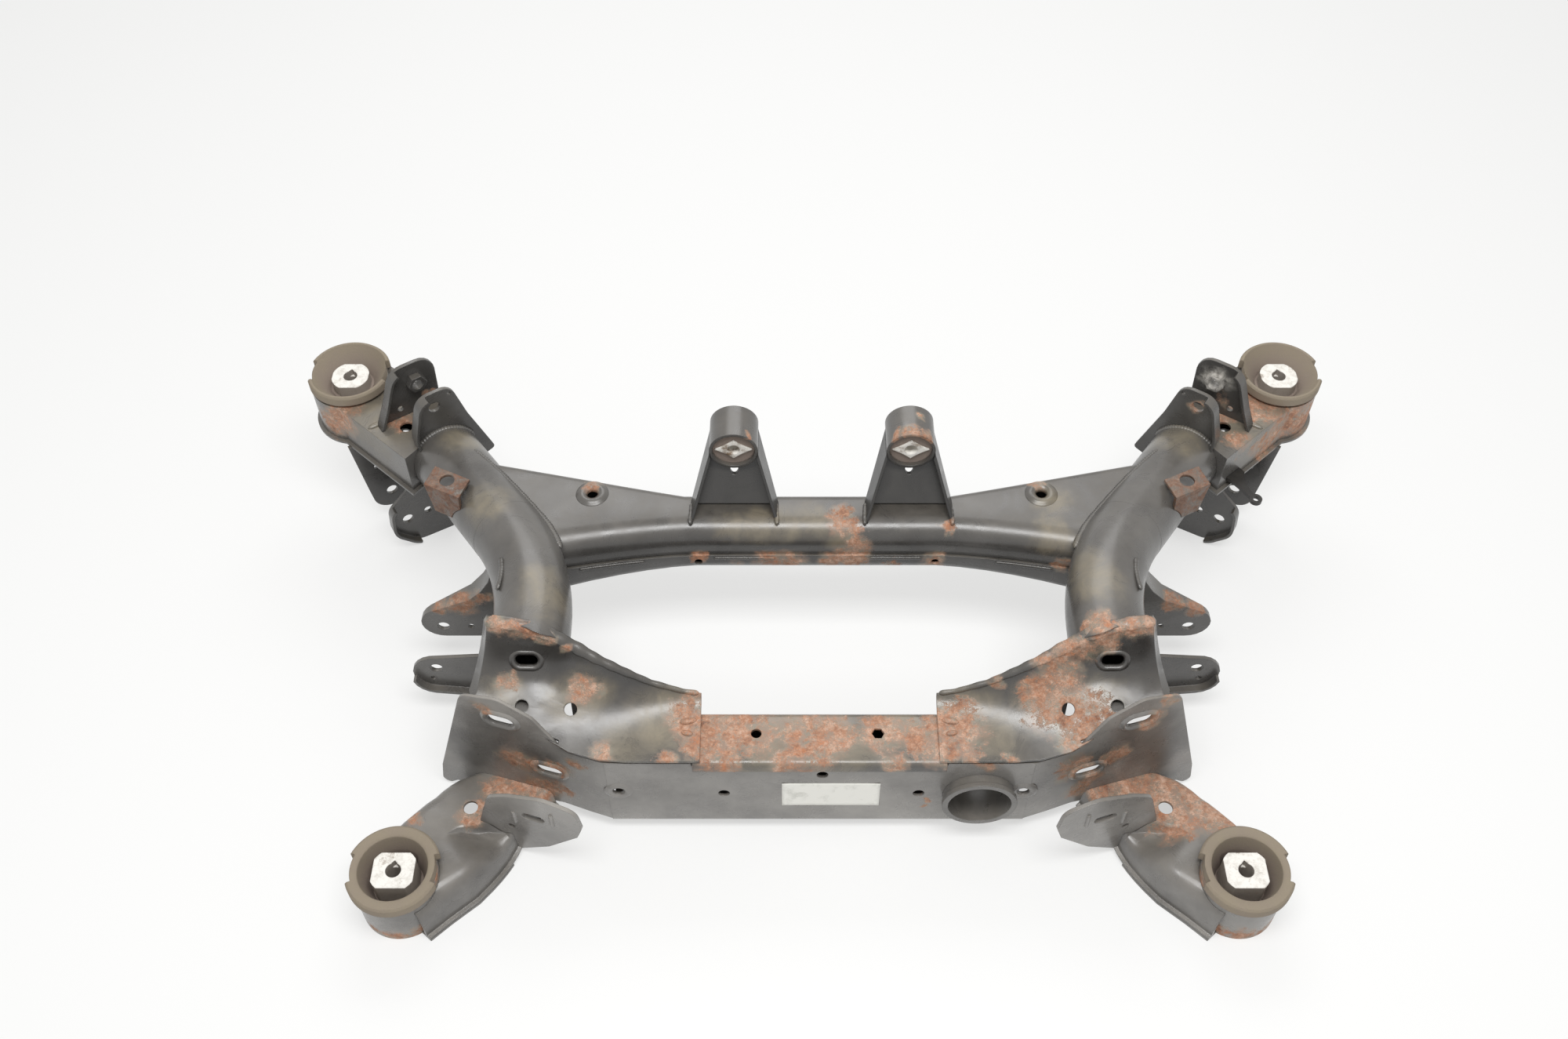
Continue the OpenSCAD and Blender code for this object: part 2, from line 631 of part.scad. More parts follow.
// rear link ears, plates square to the link axis
module link_ear(at, angle) {
    upright(at[0], at[1], -angle, plate) children();
}
module ear_rim(at, angle, depth) {
    translate([at[0], at[1], 0]) rotate([0, 0, -angle]) rotate([90, 0, 0])
        translate([0, 0, plate / 2]) linear_extrude(depth) children();
}
upper_in = tail - [2.6, 0];
upper_out = upper_in + upper_gap * [sin(upper_turn), cos(upper_turn)];
lower_in = tail + [58.4, 1];
lower_out = lower_in + lower_gap * [sin(lower_turn), cos(lower_turn)];

module upper_ear_inner(side) {
    top = upper_z + ear_r - 4;
    line = rounded([[14, 140, 4], [32, 184, 44], [17, top, 18], [-21, top, 16], [-33, 192, 30],
        [-55, 128, 4], [-43, 124, 4]]);
    color(steel) on(side) difference() {
        union() {
            link_ear(upper_in, upper_turn) difference() {
                polygon(line);
                translate([0, upper_z]) circle(d = link_d);
                translate([-18, top - 9]) circle(d = 4);
            }
            ear_rim(upper_in, upper_turn, 9) polygon(strip(part_of(line, 4, 16), sheet));
        }
        tube_solid(tube_r);
        translate([0, 0, box_low]) linear_extrude(box_top - box_low + lap_gap)
            polygon(inset(box_plan, -lap_gap));
    }
}

function part_of(p, a, b) = [for (i = [a : b]) p[i]];
module upper_ear_outer(side) {
    top = upper_z + ear_r + 1;
    line = rounded([[-22, box_top, 0], [50, box_top, 0], [40, 200, 24], [24, top, 20], [-24, top, 18]]);
    color(steel) on(side) difference() {
        union() {
            link_ear(upper_out, upper_turn) difference() {
                polygon(line);
                translate([0, upper_z]) circle(d = link_d);
                translate([22, box_top + 12]) circle(d = 7);
            }
            ear_rim(upper_out, upper_turn, 9) polygon(strip(part_of(line, 1, 11), sheet));
        }
        translate([rear_bush_x - 200, bush_y - 150, box_top - 20]) cube([300, 200, 20]);
        translate([rear_bush_x, bush_y, 50]) cylinder(h = 200, r = rim_d / 2 + 1);
    }
}

// the lower inner ears stand on the floor
module lower_ear_inner(side) {
    line = rounded([[-58, box_low, 0], [-62, 0, 8], [-4, 0, 26], [ear_r - 2, lower_z - 12, 24],
        [ear_r - 5, lower_z + 22, 20], [-8, 84, 14], [-10, box_low, 0]], 7);
    color(steel) on(side) union() {
        link_ear(lower_in, lower_turn) difference() {
            polygon(line);
            translate([0, lower_z]) circle(d = link_d);
            translate([-24, lower_z + 2]) circle(d = 9);
        }
        ear_rim(lower_in, lower_turn, 8) polygon(strip(part_of(line, 12, 31), sheet));
    }
}

module lower_ear_outer(side) {
    line = rounded([[-30, box_low, 0], [-ear_r - 1, lower_z + 10, 30], [-ear_r + 3, lower_z - ear_r, 20],
        [ear_r - 3, lower_z - ear_r, 20], [ear_r + 1, lower_z + 10, 30], [32, box_low, 0]], 7);
    color(steel) on(side) link_ear(lower_out, lower_turn) difference() {
        polygon(line);
        translate([0, lower_z]) circle(d = link_d);
        translate([8, lower_z + 44]) circle(d = 8);
    }
}

// middle link ears under the tube
mid_x = tube_x + 114.5;
mid_y = 13.5;
module mid_ear_rear(side) {
    line = concat([[tube_x + 24, 150], [tube_x + 32, 57], [tube_x + 45, mid_z - 17]],
        arc2([mid_x, mid_z + 5], 22, -92, 62, 9), [[tube_x + 82, 112], [tube_x + 68, 126],
        [tube_x + 58, 142], [tube_x + 50, 168]]);
    color(steel) on(side) difference() {
        union() {
            upright(0, mid_y, 0, plate) difference() {
                polygon(line);
                translate([mid_x, mid_z]) circle(d = link_d);
                translate([tube_x + 86, mid_z]) circle(d = 7);
            }
            intersection() {
                translate([0, mid_y + 32, 0]) rotate([90, 0, 0]) linear_extrude(32 - plate / 2)
                    polygon(strip(part_of(line, 8, 16), sheet));
                linear_extrude(300) polygon([[tube_x, mid_y], [mid_x + 30, mid_y],
                    [mid_x + 22, mid_y + plate], [mid_x + 8, mid_y + 8], [tube_x + 50, mid_y + 28],
                    [tube_x, mid_y + 30]]);
            }
        }
        tube_solid(tube_r);
    }
}

module mid_ear_front(side) {
    line = concat([[tube_x - 14, 160], [tube_x - 8, 80], [tube_x + 58, 26]],
        arc2([mid_x, mid_z - 9], 25, -80, 78, 9), [[tube_x + 62, 88], [tube_x + 46, 104],
        [tube_x + 34, 160]]);
    color(steel) on(side) difference() {
        union() {
            upright(0, mid_y - mid_gap, 0, plate) difference() {
                polygon(line);
                translate([mid_x, mid_z]) circle(d = link_d);
                translate([mid_x + 5.5, mid_z - 18]) circle(d = 6);
            }
            translate([0, mid_y - mid_gap - plate / 2, 0]) rotate([90, 0, 0]) linear_extrude(8)
                polygon(strip(part_of(line, 2, 7), sheet));
        }
        tube_solid(tube_r);
    }
}

// anti-roll bar bracket: tab over the tube with a wall down to its outer side
roll_y = 90;
roll_at = [tube_cx(roll_y), roll_y];
roll_z = tube_cz(roll_y) + tube_r + sheet + 1;
roll_tab = [for (q = [[57, -4], [49, 20], [12, 2], [20, -22.5]]) roll_at + q];
module roll_bar_bracket(side) {
    drop = 36;
    color(steel) on(side) difference() {
        union() {
            translate([0, 0, roll_z - sheet]) linear_extrude(sheet) polygon(roll_tab);
            loft([[for (q = [[57, -4], [20, -22.5], [18.5, -19.5], [55.5, -1]])
                    [roll_at[0] + q[0], roll_at[1] + q[1], roll_z - 0.5]],
                [for (q = [[51, -8], [22, -23], [20.5, -20], [49.5, -5]])
                    [roll_at[0] + q[0], roll_at[1] + q[1], roll_z - drop]]]);
        }
        tube_solid(tube_r + lap_gap);
        translate([roll_at[0] + 34.5, roll_at[1] + 1, roll_z - 10]) cylinder(h = 20, d = 15);
    }
}

// rear mounts of the final drive
module drive_bracket(side) {
    half_low = drive_od / 2 + 20;
    half_top = drive_od / 2 - 1;
    tall = drive_z - rear_top;
    lean = atan2(half_low - half_top, tall);
    color(steel) translate([drive_shift, 0, 0]) on(side) difference() {
        translate([drive_x, 0, rear_top]) {
            for (m = [0, 1]) mirror([m, 0, 0]) translate([half_low, 0, 0]) rotate([0, -lean, 0])
                rotate([90, 0, 90]) translate([0, 0, -sheet]) linear_extrude(sheet)
                    polygon([[rear_front_y + 11, -3.5], [rear_back_y - 10, 0],
                        [drive_y + drive_len - 4, tall / cos(lean)], [drive_y + 1, tall / cos(lean)]]);
            drive_web(half_low, half_top, tall);
        }
        translate([drive_x, drive_y - 10, drive_z]) rotate([-90, 0, 0])
            cylinder(h = drive_len + 40, d = drive_od);
        rear_fill();
        translate([drive_x, 50, rear_top + 28]) rotate([-90, 0, 0]) cylinder(h = 90, d = 8);
    }
}
// the top of the rear crossmember, to fit other pieces against it
module rear_fill() {
    y = rear_front_y - 0.8;
    rotate([90, 0, 90]) linear_extrude(300) polygon(concat([[y, rear_top - 40]],
        arc2([y + front_roll, rear_top - front_roll], front_roll, 180, 90, 6),
        [[rear_back_y + 60, rear_top], [rear_back_y + 60, rear_top - 40]]));
}
module drive_web(low, top, tall) {
    run = drive_y + drive_len - 4 - (rear_back_y - 10);
    lean = atan2(run, tall);
    translate([0, rear_back_y - 10, 0]) rotate([-lean, 0, 0]) rotate([90, 0, 0])
        linear_extrude(sheet)
            polygon([[1 - low, 0], [low - 1, 0], [top - 1, tall / cos(lean)],
                [1 - top, tall / cos(lean)]]);
}

module drive_place(side) {
    translate([drive_shift + side * drive_x, drive_y, drive_z]) rotate([-90, 0, 0]) children();
}
module drive_sleeve(side) {
    color(steel) drive_place(side) difference() {
        cylinder(h = drive_len, d = drive_od);
        translate([0, 0, -1]) cylinder(h = drive_len + 2, d = drive_od - 2 * drive_wall);
    }
}
function sign_pow(v, p) = sign(v) * pow(abs(v), p);
module diamond() {
    polygon([for (k = [0 : 39]) let(a = k * 9)
        [sign_pow(cos(a), 2.3) * 18.5, sign_pow(sin(a), 2.3) * 12.5]]);
}
module drive_core(side) {
    color(alloy) drive_place(side) difference() {
        translate([0, 0, 2]) linear_extrude(drive_len - 4) union() {
            diamond();
            circle(d = drive_bore_d + 6);
        }
        translate([0, 0, -1]) cylinder(h = drive_len + 2, d = drive_bore_d);
    }
}
module drive_rubber(side) {
    color(rubber) drive_place(side) difference() {
        translate([0, 0, 4]) cylinder(h = drive_len - 8, d = drive_od - 2 * drive_wall);
        translate([0, 0, -1]) linear_extrude(drive_len + 2) union() {
            diamond();
            circle(d = drive_bore_d + 6);
        }
    }
}

// weld nuts on the outer upper ears
module weld_nuts() {
    color(steel) for (side = [-1, 1]) on(side)
        translate([upper_out[0], upper_out[1], upper_z]) rotate([0, 0, -upper_turn]) rotate([90, 0, 0])
            translate([0, 0, plate / 2]) difference() {
                cylinder(h = 8, d = 21, $fn = 6);
                translate([0, 0, -1]) cylinder(h = 12, d = link_d);
            }
}

// hook with an eye on the right rear box
clip_z = 136;
clip_eye = [-6, 39];
clip_at = box_plan[0] + 18 * unit(box_plan[1] - box_plan[0]);
module cable_clip() {
    way = box_plan[1] - box_plan[0];
    color(steel) translate([clip_at[0], clip_at[1], clip_z]) rotate([0, 0, atan2(way[1], way[0])])
        mirror([0, 1, 0]) linear_extrude(4) difference() {
            union() {
                polygon([[-6, lap_gap], [16, lap_gap], [15, 8], [7, 14], [2, 22], [-3, 34],
                    [-9, 34], [-6, 20], [-5, 10]]);
                translate(clip_eye) circle(d = 13);
            }
            translate(clip_eye) circle(d = 6.5);
        }
}

side_tube(-1);  // side_tube_left
side_tube(1);  // side_tube_right
rear_crossmember_upper();
rear_crossmember_lower();
front_crossmember_rear();
front_crossmember_front();
wing(-1);  // wing_left
wing(1);  // wing_right
front_arm_upper(-1);  // front_arm_upper_left
front_arm_upper(1);  // front_arm_upper_right
front_arm_lower(-1);  // front_arm_lower_left
front_arm_lower(1);  // front_arm_lower_right
front_link_bracket(-1);  // front_link_bracket_left
front_link_bracket(1);  // front_link_bracket_right
bush_sleeve(-1, false);  // front_sleeve_left
bush_sleeve(1, false);  // front_sleeve_right
bush_sleeve(-1, true);  // rear_sleeve_left
bush_sleeve(1, true);  // rear_sleeve_right
rear_box_upper(-1);  // rear_box_upper_left
rear_box_upper(1);  // rear_box_upper_right
rear_box_lower(-1);  // rear_box_lower_left
rear_box_lower(1);  // rear_box_lower_right
upper_ear_outer(-1);  // upper_ear_outer_left
upper_ear_outer(1);  // upper_ear_outer_right
upper_ear_inner(-1);  // upper_ear_inner_left
upper_ear_inner(1);  // upper_ear_inner_right
lower_ear_outer(-1);  // lower_ear_outer_left
lower_ear_outer(1);  // lower_ear_outer_right
lower_ear_inner(-1);  // lower_ear_inner_left
lower_ear_inner(1);  // lower_ear_inner_right
mid_ear_rear(-1);  // mid_ear_rear_left
mid_ear_rear(1);  // mid_ear_rear_right
mid_ear_front(-1);  // mid_ear_front_left
mid_ear_front(1);  // mid_ear_front_right
roll_bar_bracket(-1);  // roll_bar_bracket_left
roll_bar_bracket(1);  // roll_bar_bracket_right
drive_bracket(-1);  // drive_bracket_left
drive_bracket(1);  // drive_bracket_right
drive_sleeve(-1);  // drive_sleeve_left
drive_sleeve(1);  // drive_sleeve_right
drive_rubber(-1);  // drive_rubber_left
drive_rubber(1);  // drive_rubber_right
drive_core(-1);  // drive_core_left
drive_core(1);  // drive_core_right
nose_sleeve();
bush_rubber(-1, false);  // front_bush_rubber_left
bush_rubber(1, false);  // front_bush_rubber_right
bush_rubber(-1, true);  // rear_bush_rubber_left
bush_rubber(1, true);  // rear_bush_rubber_right
bush_core(-1, false);  // front_bush_core_left
bush_core(1, false);  // front_bush_core_right
bush_core(-1, true);  // rear_bush_core_left
bush_core(1, true);  // rear_bush_core_right
weld_nuts();
cable_clip();
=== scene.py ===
import math

import bpy
import numpy as np
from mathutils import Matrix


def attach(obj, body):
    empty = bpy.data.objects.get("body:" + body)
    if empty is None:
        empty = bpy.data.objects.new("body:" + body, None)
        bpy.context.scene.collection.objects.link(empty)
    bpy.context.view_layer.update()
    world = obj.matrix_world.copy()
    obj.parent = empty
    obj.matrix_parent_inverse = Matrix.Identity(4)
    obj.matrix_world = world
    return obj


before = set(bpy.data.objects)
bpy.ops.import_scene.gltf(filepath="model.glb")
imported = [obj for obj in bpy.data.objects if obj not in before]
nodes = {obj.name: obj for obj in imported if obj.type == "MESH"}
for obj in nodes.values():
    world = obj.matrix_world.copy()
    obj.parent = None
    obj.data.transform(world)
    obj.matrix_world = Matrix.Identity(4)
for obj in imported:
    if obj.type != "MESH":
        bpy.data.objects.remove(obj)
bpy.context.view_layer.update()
mm = 0.001
print("frame loaded:", len(nodes), "pieces")


# sRGB hex to the linear colour that shaders want, made brighter or darker by a factor: a tone of the colour,
# or a painted light level
def hexColour(code, toneAndLight=1.0):
    part = np.array([int(code[i:i + 2], 16) for i in (1, 3, 5)]) / 255
    linear = np.where(part <= 0.04045, part / 12.92, ((part + 0.055) / 1.055) ** 2.4)
    return (*(float(c) * toneAndLight for c in linear), 1.0)


# noise scale that draws features of this size in mm
def scaleFor(size):
    return 1 / (size * mm)


# inputs by name or number: a socket is linked, anything else is a plain value
def plug(tree, node, sockets):
    for key, value in sockets.items():
        if isinstance(value, bpy.types.NodeSocket):
            tree.links.new(value, node.inputs[key])
        else:
            node.inputs[key].default_value = value


# one node with its settings and links; out picks one of its outputs, else the node comes back
def addNode(tree, kind, settings, sockets, out=None):
    node = tree.nodes.new(kind)
    for key, value in settings.items():
        setattr(node, key, value)
    plug(tree, node, sockets)
    return node if out is None else node.outputs[out]


# kinds and settings that many of the nodes share
noiseNode, rangeNode = "ShaderNodeTexNoise", "ShaderNodeMapRange"
mathNode, mixNode = "ShaderNodeMath", "ShaderNodeMix"
multiply, multiplyAdd = {"operation": "MULTIPLY"}, {"operation": "MULTIPLY_ADD"}
plus, minus, highest = {"operation": "ADD"}, {"operation": "SUBTRACT"}, {"operation": "MAXIMUM"}
ofColour, ofNumber = {"data_type": "RGBA"}, {"data_type": "FLOAT"}
softly = {"interpolation_type": "SMOOTHSTEP"}


def newMaterial(name):
    material = bpy.data.materials.new(name)
    material.use_nodes = True
    tree = material.node_tree
    return material, tree, tree.nodes["Principled BSDF"]


# patch strength round listed places, each x, y, z and radius in mm: 1 within the share "full" of any
# place's radius, 0 past the share "gone" of all of them
patchSettings = {"full": 0.35, "gone": 1.45}


def patchField(tree, point, places):
    s = patchSettings
    field = 0.0
    for x, y, z, r in places:
        away = addNode(tree, "ShaderNodeVectorMath", {"operation": "DISTANCE"},
                       {0: point, 1: (x * mm, y * mm, z * mm)}, "Value")
        spot = addNode(tree, rangeNode, softly, {0: away, 1: r * s["gone"] * mm, 2: r * s["full"] * mm}, 0)
        field = addNode(tree, mathNode, highest, {0: field, 1: spot}, 0)
    return field


# chassis paint: satin dip coat over pressed steel, road-worn. It gives the eye a soft broad
# sheen on grey-black, brown dust on faces that look up, and salmon rust where the coat broke
paintSettings = {
    # the near-black colour after tan is painted shade for hollows and recesses, with some grime on the wings
    "dark": "#3b3937", "light": "#5a5855", "dust": "#857c6d", "tan": "#a3967b", "shadeAndGrime": "#24221f",
    "bare": "#c9c5bd", "thin": "#857f70", "wash": "#977c69", "rustBright": "#bd7446", "pit": "#53372a",
    "rustRamp": ((0.16, "#6d4532"), (0.46, "#ad7d60"), (0.80, "#d8b7a1")),
    "specular": 0.75, "rustRough": 0.85, "bareRough": 0.25,
    "dustShare": 0.34,                        # most dust that settles
    "dustDull": 0.28,                         # how much of the sheen dust takes
    "edgeRadius": 1.4,                        # mm, how round the sheet edges look
    "crustRise": 0.3, "peelRise": 0.04,       # mm, relief of the rust and of the coat
    "waves": ((30.0, 26.0), (9.0, 12.0)),     # mm, waves in the patch outlines: size and push
    # noise by name: size in mm, detail, roughness, distortion
    "noise": {
        "crust": (1.6, 5.0, 0.60, 0.0),       # grains of the rust, drawn coarse enough to show
        "peel": (2.4, 3.0, 0.50, 0.0),        # peel of the coat, coarse enough to show
        "fine": (5.0, 8.0, 0.72, 0.5),        # tints in the rust
        "flake": (11.0, 8.0, 0.66, 0.4),      # gaps in the rust
        "freckle": (14.0, 7.0, 0.72, 0.0),    # spots of early rust
        "film": (33.0, 7.0, 0.68, 0.8),       # uneven dust and sheen
        "cloud": (70.0, 6.0, 0.62, 0.0),      # clouds in the coat
    },
    # shares read from the noise, with the Map Range sockets: 1 and 2 are the low and high that
    # are read, 3 and 4 are what is given for them
    "shares": {
        "clouded": ("cloud", {1: 0.30, 2: 0.70}),
        "patchy": ("film", {1: 0.32, 2: 0.68}),
        "dusty": ("film", {1: 0.32, 2: 0.68, 3: 0.3}),
        "stained": ("film", {1: 0.28, 2: 0.72, 3: 0.1, 4: 0.5}),
        "satin": ("film", {1: 0.30, 2: 0.70, 3: 0.21, 4: 0.37}),
        "broadTint": ("film", {1: 0.30, 2: 0.70, 4: 0.45}),
        "fineTint": ("fine", {1: 0.28, 2: 0.72, 4: 0.55}),
        "washed": ("freckle", {1: 0.40, 2: 0.58}),
        "bright": ("freckle", {1: 0.54, 2: 0.68, 4: 0.75}),
        "gaps": ("flake", {1: 0.30, 2: 0.70, 3: -0.6, 4: 0.6}),
        "scraped": ("flake", {1: 0.35, 2: 0.55}),
        "grains": ("crust", {1: 0.30, 2: 0.70, 3: -0.3, 4: 0.3}),
        "pitted": ("crust", {1: 0.44, 2: 0.30, 4: 0.7}),
    },
    "dustSlope": {1: 0.3, 2: 1.0},            # from steep faces to level ones
    "speckSpan": {1: 0.60, 2: 0.85}, "speckGain": 1.6,
    "washSpan": {1: 0.35, 2: 1.2, 4: 0.85}, "washEdge": {1: 0.0, 2: 0.3}, "washNoise": 0.6,
    "scaleSpan": {1: 0.46, 2: 1.22, 4: 0.92}, "scaleEdge": {1: 0.04, 2: 0.24},
}


# rust, tan, bare and the darkened places are lists of places, dents are places that the press pushed in; the
# darkened places are painted shade in hollows, recesses and shaded plates, with some grime on the wings;
# speck is how freckled the coat is, its tone is a painted light level, lighter where more light falls and
# darker in shade, and rustTone brightens the rust
def chassisPaint(name, rust=(), tan=(), bare=(), shadeAndGrime=(), dents=(), dustShare=paintSettings["dustShare"],
                 speck=0.30, toneAndLight=1.0, rustTone=1.0, shadeAndGrimeShare=0.4):
    s = paintSettings
    material, tree, shader = newMaterial(name)
    place = addNode(tree, "ShaderNodeTexCoord", {}, {}, "Object")
    bent = place
    for size, push in s["waves"]:
        wave = addNode(tree, noiseNode, {},
                       {"Vector": place, "Scale": scaleFor(size), "Detail": 3.0, "Roughness": 0.5}, "Color")
        wave = addNode(tree, "ShaderNodeVectorMath", minus, {0: wave, 1: (0.5, 0.5, 0.5)}, 0)
        bent = addNode(tree, "ShaderNodeVectorMath", multiplyAdd, {0: wave, 1: (push * mm,) * 3, 2: bent}, 0)
    noise, share = {}, {}
    for kind, (size, detail, roughness, distortion) in s["noise"].items():
        noise[kind] = addNode(tree, noiseNode, {},
                              {"Vector": place, "Scale": scaleFor(size), "Detail": detail,
                               "Roughness": roughness, "Distortion": distortion}, 0)
    for kind, (source, span) in s["shares"].items():
        share[kind] = addNode(tree, rangeNode, {}, {0: noise[source], **span}, 0)

    # the coat, with painted shade darkening its hollows and recesses at the listed places, and some grime
    # with it on the wings
    colour = addNode(tree, mixNode, ofColour,
                     {0: share["clouded"], 6: hexColour(s["dark"], toneAndLight), 7: hexColour(s["light"], toneAndLight)}, 2)
    shadeAndGrimeMask = 0.0
    # painted shade: the coat turns towards the near-black colour round the listed places
    if shadeAndGrime:
        shadeAndGrimeMask = addNode(tree, mathNode, multiply, {0: patchField(tree, bent, shadeAndGrime), 1: shadeAndGrimeShare}, 0)
        colour = addNode(tree, mixNode, ofColour, {0: shadeAndGrimeMask, 6: colour, 7: hexColour(s["shadeAndGrime"])}, 2)
    # dust settles on faces that look up, and is kept off the places darkened by painted shade and grime
    normal = addNode(tree, "ShaderNodeNewGeometry", {}, {}, "Normal")
    up = addNode(tree, "ShaderNodeSeparateXYZ", {}, {0: normal}, "Z")
    dust = addNode(tree, rangeNode, softly, {0: up, **s["dustSlope"], 4: dustShare}, 0)
    dust = addNode(tree, mathNode, multiply, {0: dust, 1: share["dusty"]}, 0)
    clearOfShadeAndGrime = addNode(tree, mathNode, minus, {0: 1.0, 1: shadeAndGrimeMask}, 0)
    dust = addNode(tree, mathNode, multiply, {0: dust, 1: clearOfShadeAndGrime}, 0)
    colour = addNode(tree, mixNode, ofColour, {0: dust, 6: colour, 7: hexColour(s["dust"])}, 2)
    if tan:
        stain = addNode(tree, mathNode, multiply, {0: patchField(tree, bent, tan), 1: share["stained"]}, 0)
        colour = addNode(tree, mixNode, ofColour, {0: stain, 6: colour, 7: hexColour(s["tan"])}, 2)

    # rust: a thin wash round each listed place, and scale over it where the coat broke
    base = addNode(tree, rangeNode, {},
                   {0: noise["freckle"], **s["speckSpan"], 4: speck * s["speckGain"]}, 0)
    if rust:
        field = patchField(tree, bent, rust)
        wash = addNode(tree, mathNode, multiplyAdd, {0: share["patchy"], 1: s["washNoise"], 2: field}, 0)
        wash = addNode(tree, rangeNode, softly, {0: wash, **s["washSpan"]}, 0)
        inside = addNode(tree, rangeNode, {}, {0: field, **s["washEdge"]}, 0)
        wash = addNode(tree, mathNode, multiply, {0: wash, 1: inside}, 0)
        hue = addNode(tree, mixNode, ofColour,
                      {0: share["washed"], 6: hexColour(s["thin"], rustTone),
                       7: hexColour(s["wash"], rustTone)}, 2)
        colour = addNode(tree, mixNode, ofColour, {0: wash, 6: colour, 7: hue}, 2)
        base = addNode(tree, mathNode, highest, {0: base, 1: field}, 0)
    broken = addNode(tree, mathNode, plus, {0: base, 1: share["gaps"]}, 0)
    broken = addNode(tree, mathNode, plus, {0: broken, 1: share["grains"]}, 0)
    rusty = addNode(tree, rangeNode, softly, {0: broken, **s["scaleSpan"]}, 0)
    inside = addNode(tree, rangeNode, {}, {0: base, **s["scaleEdge"]}, 0)
    rusty = addNode(tree, mathNode, multiply, {0: rusty, 1: inside}, 0)
    # the scale runs from deep brown to pale salmon, with bright spots and dark pits
    tint = addNode(tree, mathNode, plus, {0: share["fineTint"], 1: share["broadTint"]}, 0)
    ramp = addNode(tree, "ShaderNodeValToRGB", {}, {0: tint})
    stops = ramp.color_ramp.elements
    stops.new(s["rustRamp"][1][0])
    for stop, (position, code) in zip(stops, s["rustRamp"]):
        stop.position, stop.color = position, hexColour(code, rustTone)
    scale = addNode(tree, mixNode, ofColour,
                    {0: share["bright"], 6: ramp.outputs[0], 7: hexColour(s["rustBright"], rustTone)}, 2)
    scale = addNode(tree, mixNode, ofColour,
                    {0: share["pitted"], 6: scale, 7: hexColour(s["pit"], rustTone)}, 2)
    colour = addNode(tree, mixNode, ofColour, {0: rusty, 6: colour, 7: scale}, 2)

    # the coat is satin and slightly uneven, rust and dust are dull
    dull = addNode(tree, mathNode, multiply, {0: dust, 1: s["dustDull"]}, 0)
    dull = addNode(tree, mathNode, highest, {0: rusty, 1: dull}, 0)
    rough = addNode(tree, mixNode, ofNumber, {0: dull, 2: share["satin"], 3: s["rustRough"]}, 0)
    if bare:
        worn = addNode(tree, mathNode, multiply, {0: patchField(tree, bent, bare), 1: share["scraped"]}, 0)
        colour = addNode(tree, mixNode, ofColour, {0: worn, 6: colour, 7: hexColour(s["bare"])}, 2)
        rough = addNode(tree, mixNode, ofNumber, {0: worn, 2: rough, 3: s["bareRough"]}, 0)
    # relief in metres: crust on the rust, a faint peel on the coat, and the dents
    relief = addNode(tree, mathNode, multiply, {0: rusty, 1: noise["crust"]}, 0)
    relief = addNode(tree, mathNode, multiply, {0: relief, 1: s["crustRise"] * mm}, 0)
    relief = addNode(tree, mathNode, multiplyAdd, {0: noise["peel"], 1: s["peelRise"] * mm, 2: relief}, 0)
    for x, y, z, r, depth in dents:
        dent = patchField(tree, place, [(x, y, z, r)])
        relief = addNode(tree, mathNode, multiplyAdd, {0: dent, 1: -depth * mm, 2: relief}, 0)
    edge = addNode(tree, "ShaderNodeBevel", {"samples": 4}, {"Radius": s["edgeRadius"] * mm}, 0)
    bump = addNode(tree, "ShaderNodeBump", {},
                   {"Strength": 1.0, "Distance": 1.0, "Height": relief, "Normal": edge}, 0)
    plug(tree, shader, {"Base Color": colour, "Roughness": rough, "Normal": bump,
                        "Specular IOR Level": s["specular"]})
    return material


# places of rust, tan stains, painted shade (with some grime on the wings) and bare metal, as the photograph
# shows them, in
# mm: x, y, z, radius; a dent also has its depth
stripRust = [(-103, -144, 125, 27), (-106, -165, 125, 24), (-70, -150, 125, 34), (-11, -161, 125, 36),
             (11, -148, 125, 24), (57, -153, 125, 22), (91, -161, 125, 22), (112, -150, 127, 24),
             (-84, -180, 121, 16), (-33, -182, 121, 17), (69, -182, 121, 12), (112, -172, 125, 20)]
stripTan = [(-60, -168, 125, 36), (-92, -142, 125, 28), (22, -168, 125, 34), (-32, -148, 125, 28),
            (78, -150, 125, 26)]
wingLeftRust = [(-121, -139, 130, 22), (-114, -165, 128, 20), (-296, -100, 221, 13), (-276, -99, 218, 12),
                (-255, -103, 211, 10), (-219, -125, 158, 15), (-293, -122, 167, 11), (-199, -177, 130, 12),
                (-141, -185, 128, 11), (-235, -108, 195, 7), (-122, -121, 137, 10), (-266, -97, 216, 9),
                (-118, -152, 129, 20), (-286, -96, 220, 9)]
wingLeftTan = [(-219, -128, 154, 24), (-237, -132, 153, 20), (-295, -129, 161, 17), (-150, -150, 130, 34),
               (-180, -170, 129, 26), (-140, -130, 133, 24)]
wingRightRust = [(132, -147, 129, 26), (119, -172, 128, 20), (114, -147, 129, 22), (215, -133, 149, 32),
                 (240, -148, 144, 27), (222, -117, 169, 20), (218, -113, 178, 14), (241, -107, 195, 16),
                 (265, -103, 207, 16), (288, -100, 220, 18), (303, -95, 220, 13), (194, -124, 153, 12),
                 (141, -176, 128, 12), (245, -166, 139, 20), (270, -158, 146, 14), (253, -100, 208, 14),
                 (276, -98, 217, 14), (228, -105, 194, 14), (205, -112, 181, 10), (230, -150, 142, 22),
                 (258, -140, 150, 18), (165, -116, 157, 9), (180, -183, 128, 10)]
wingRightTan = [(208, -139, 144, 20), (194, -129, 148, 17), (222, -137, 149, 17), (140, -135, 132, 28),
                (165, -160, 130, 26), (262, -138, 154, 24)]
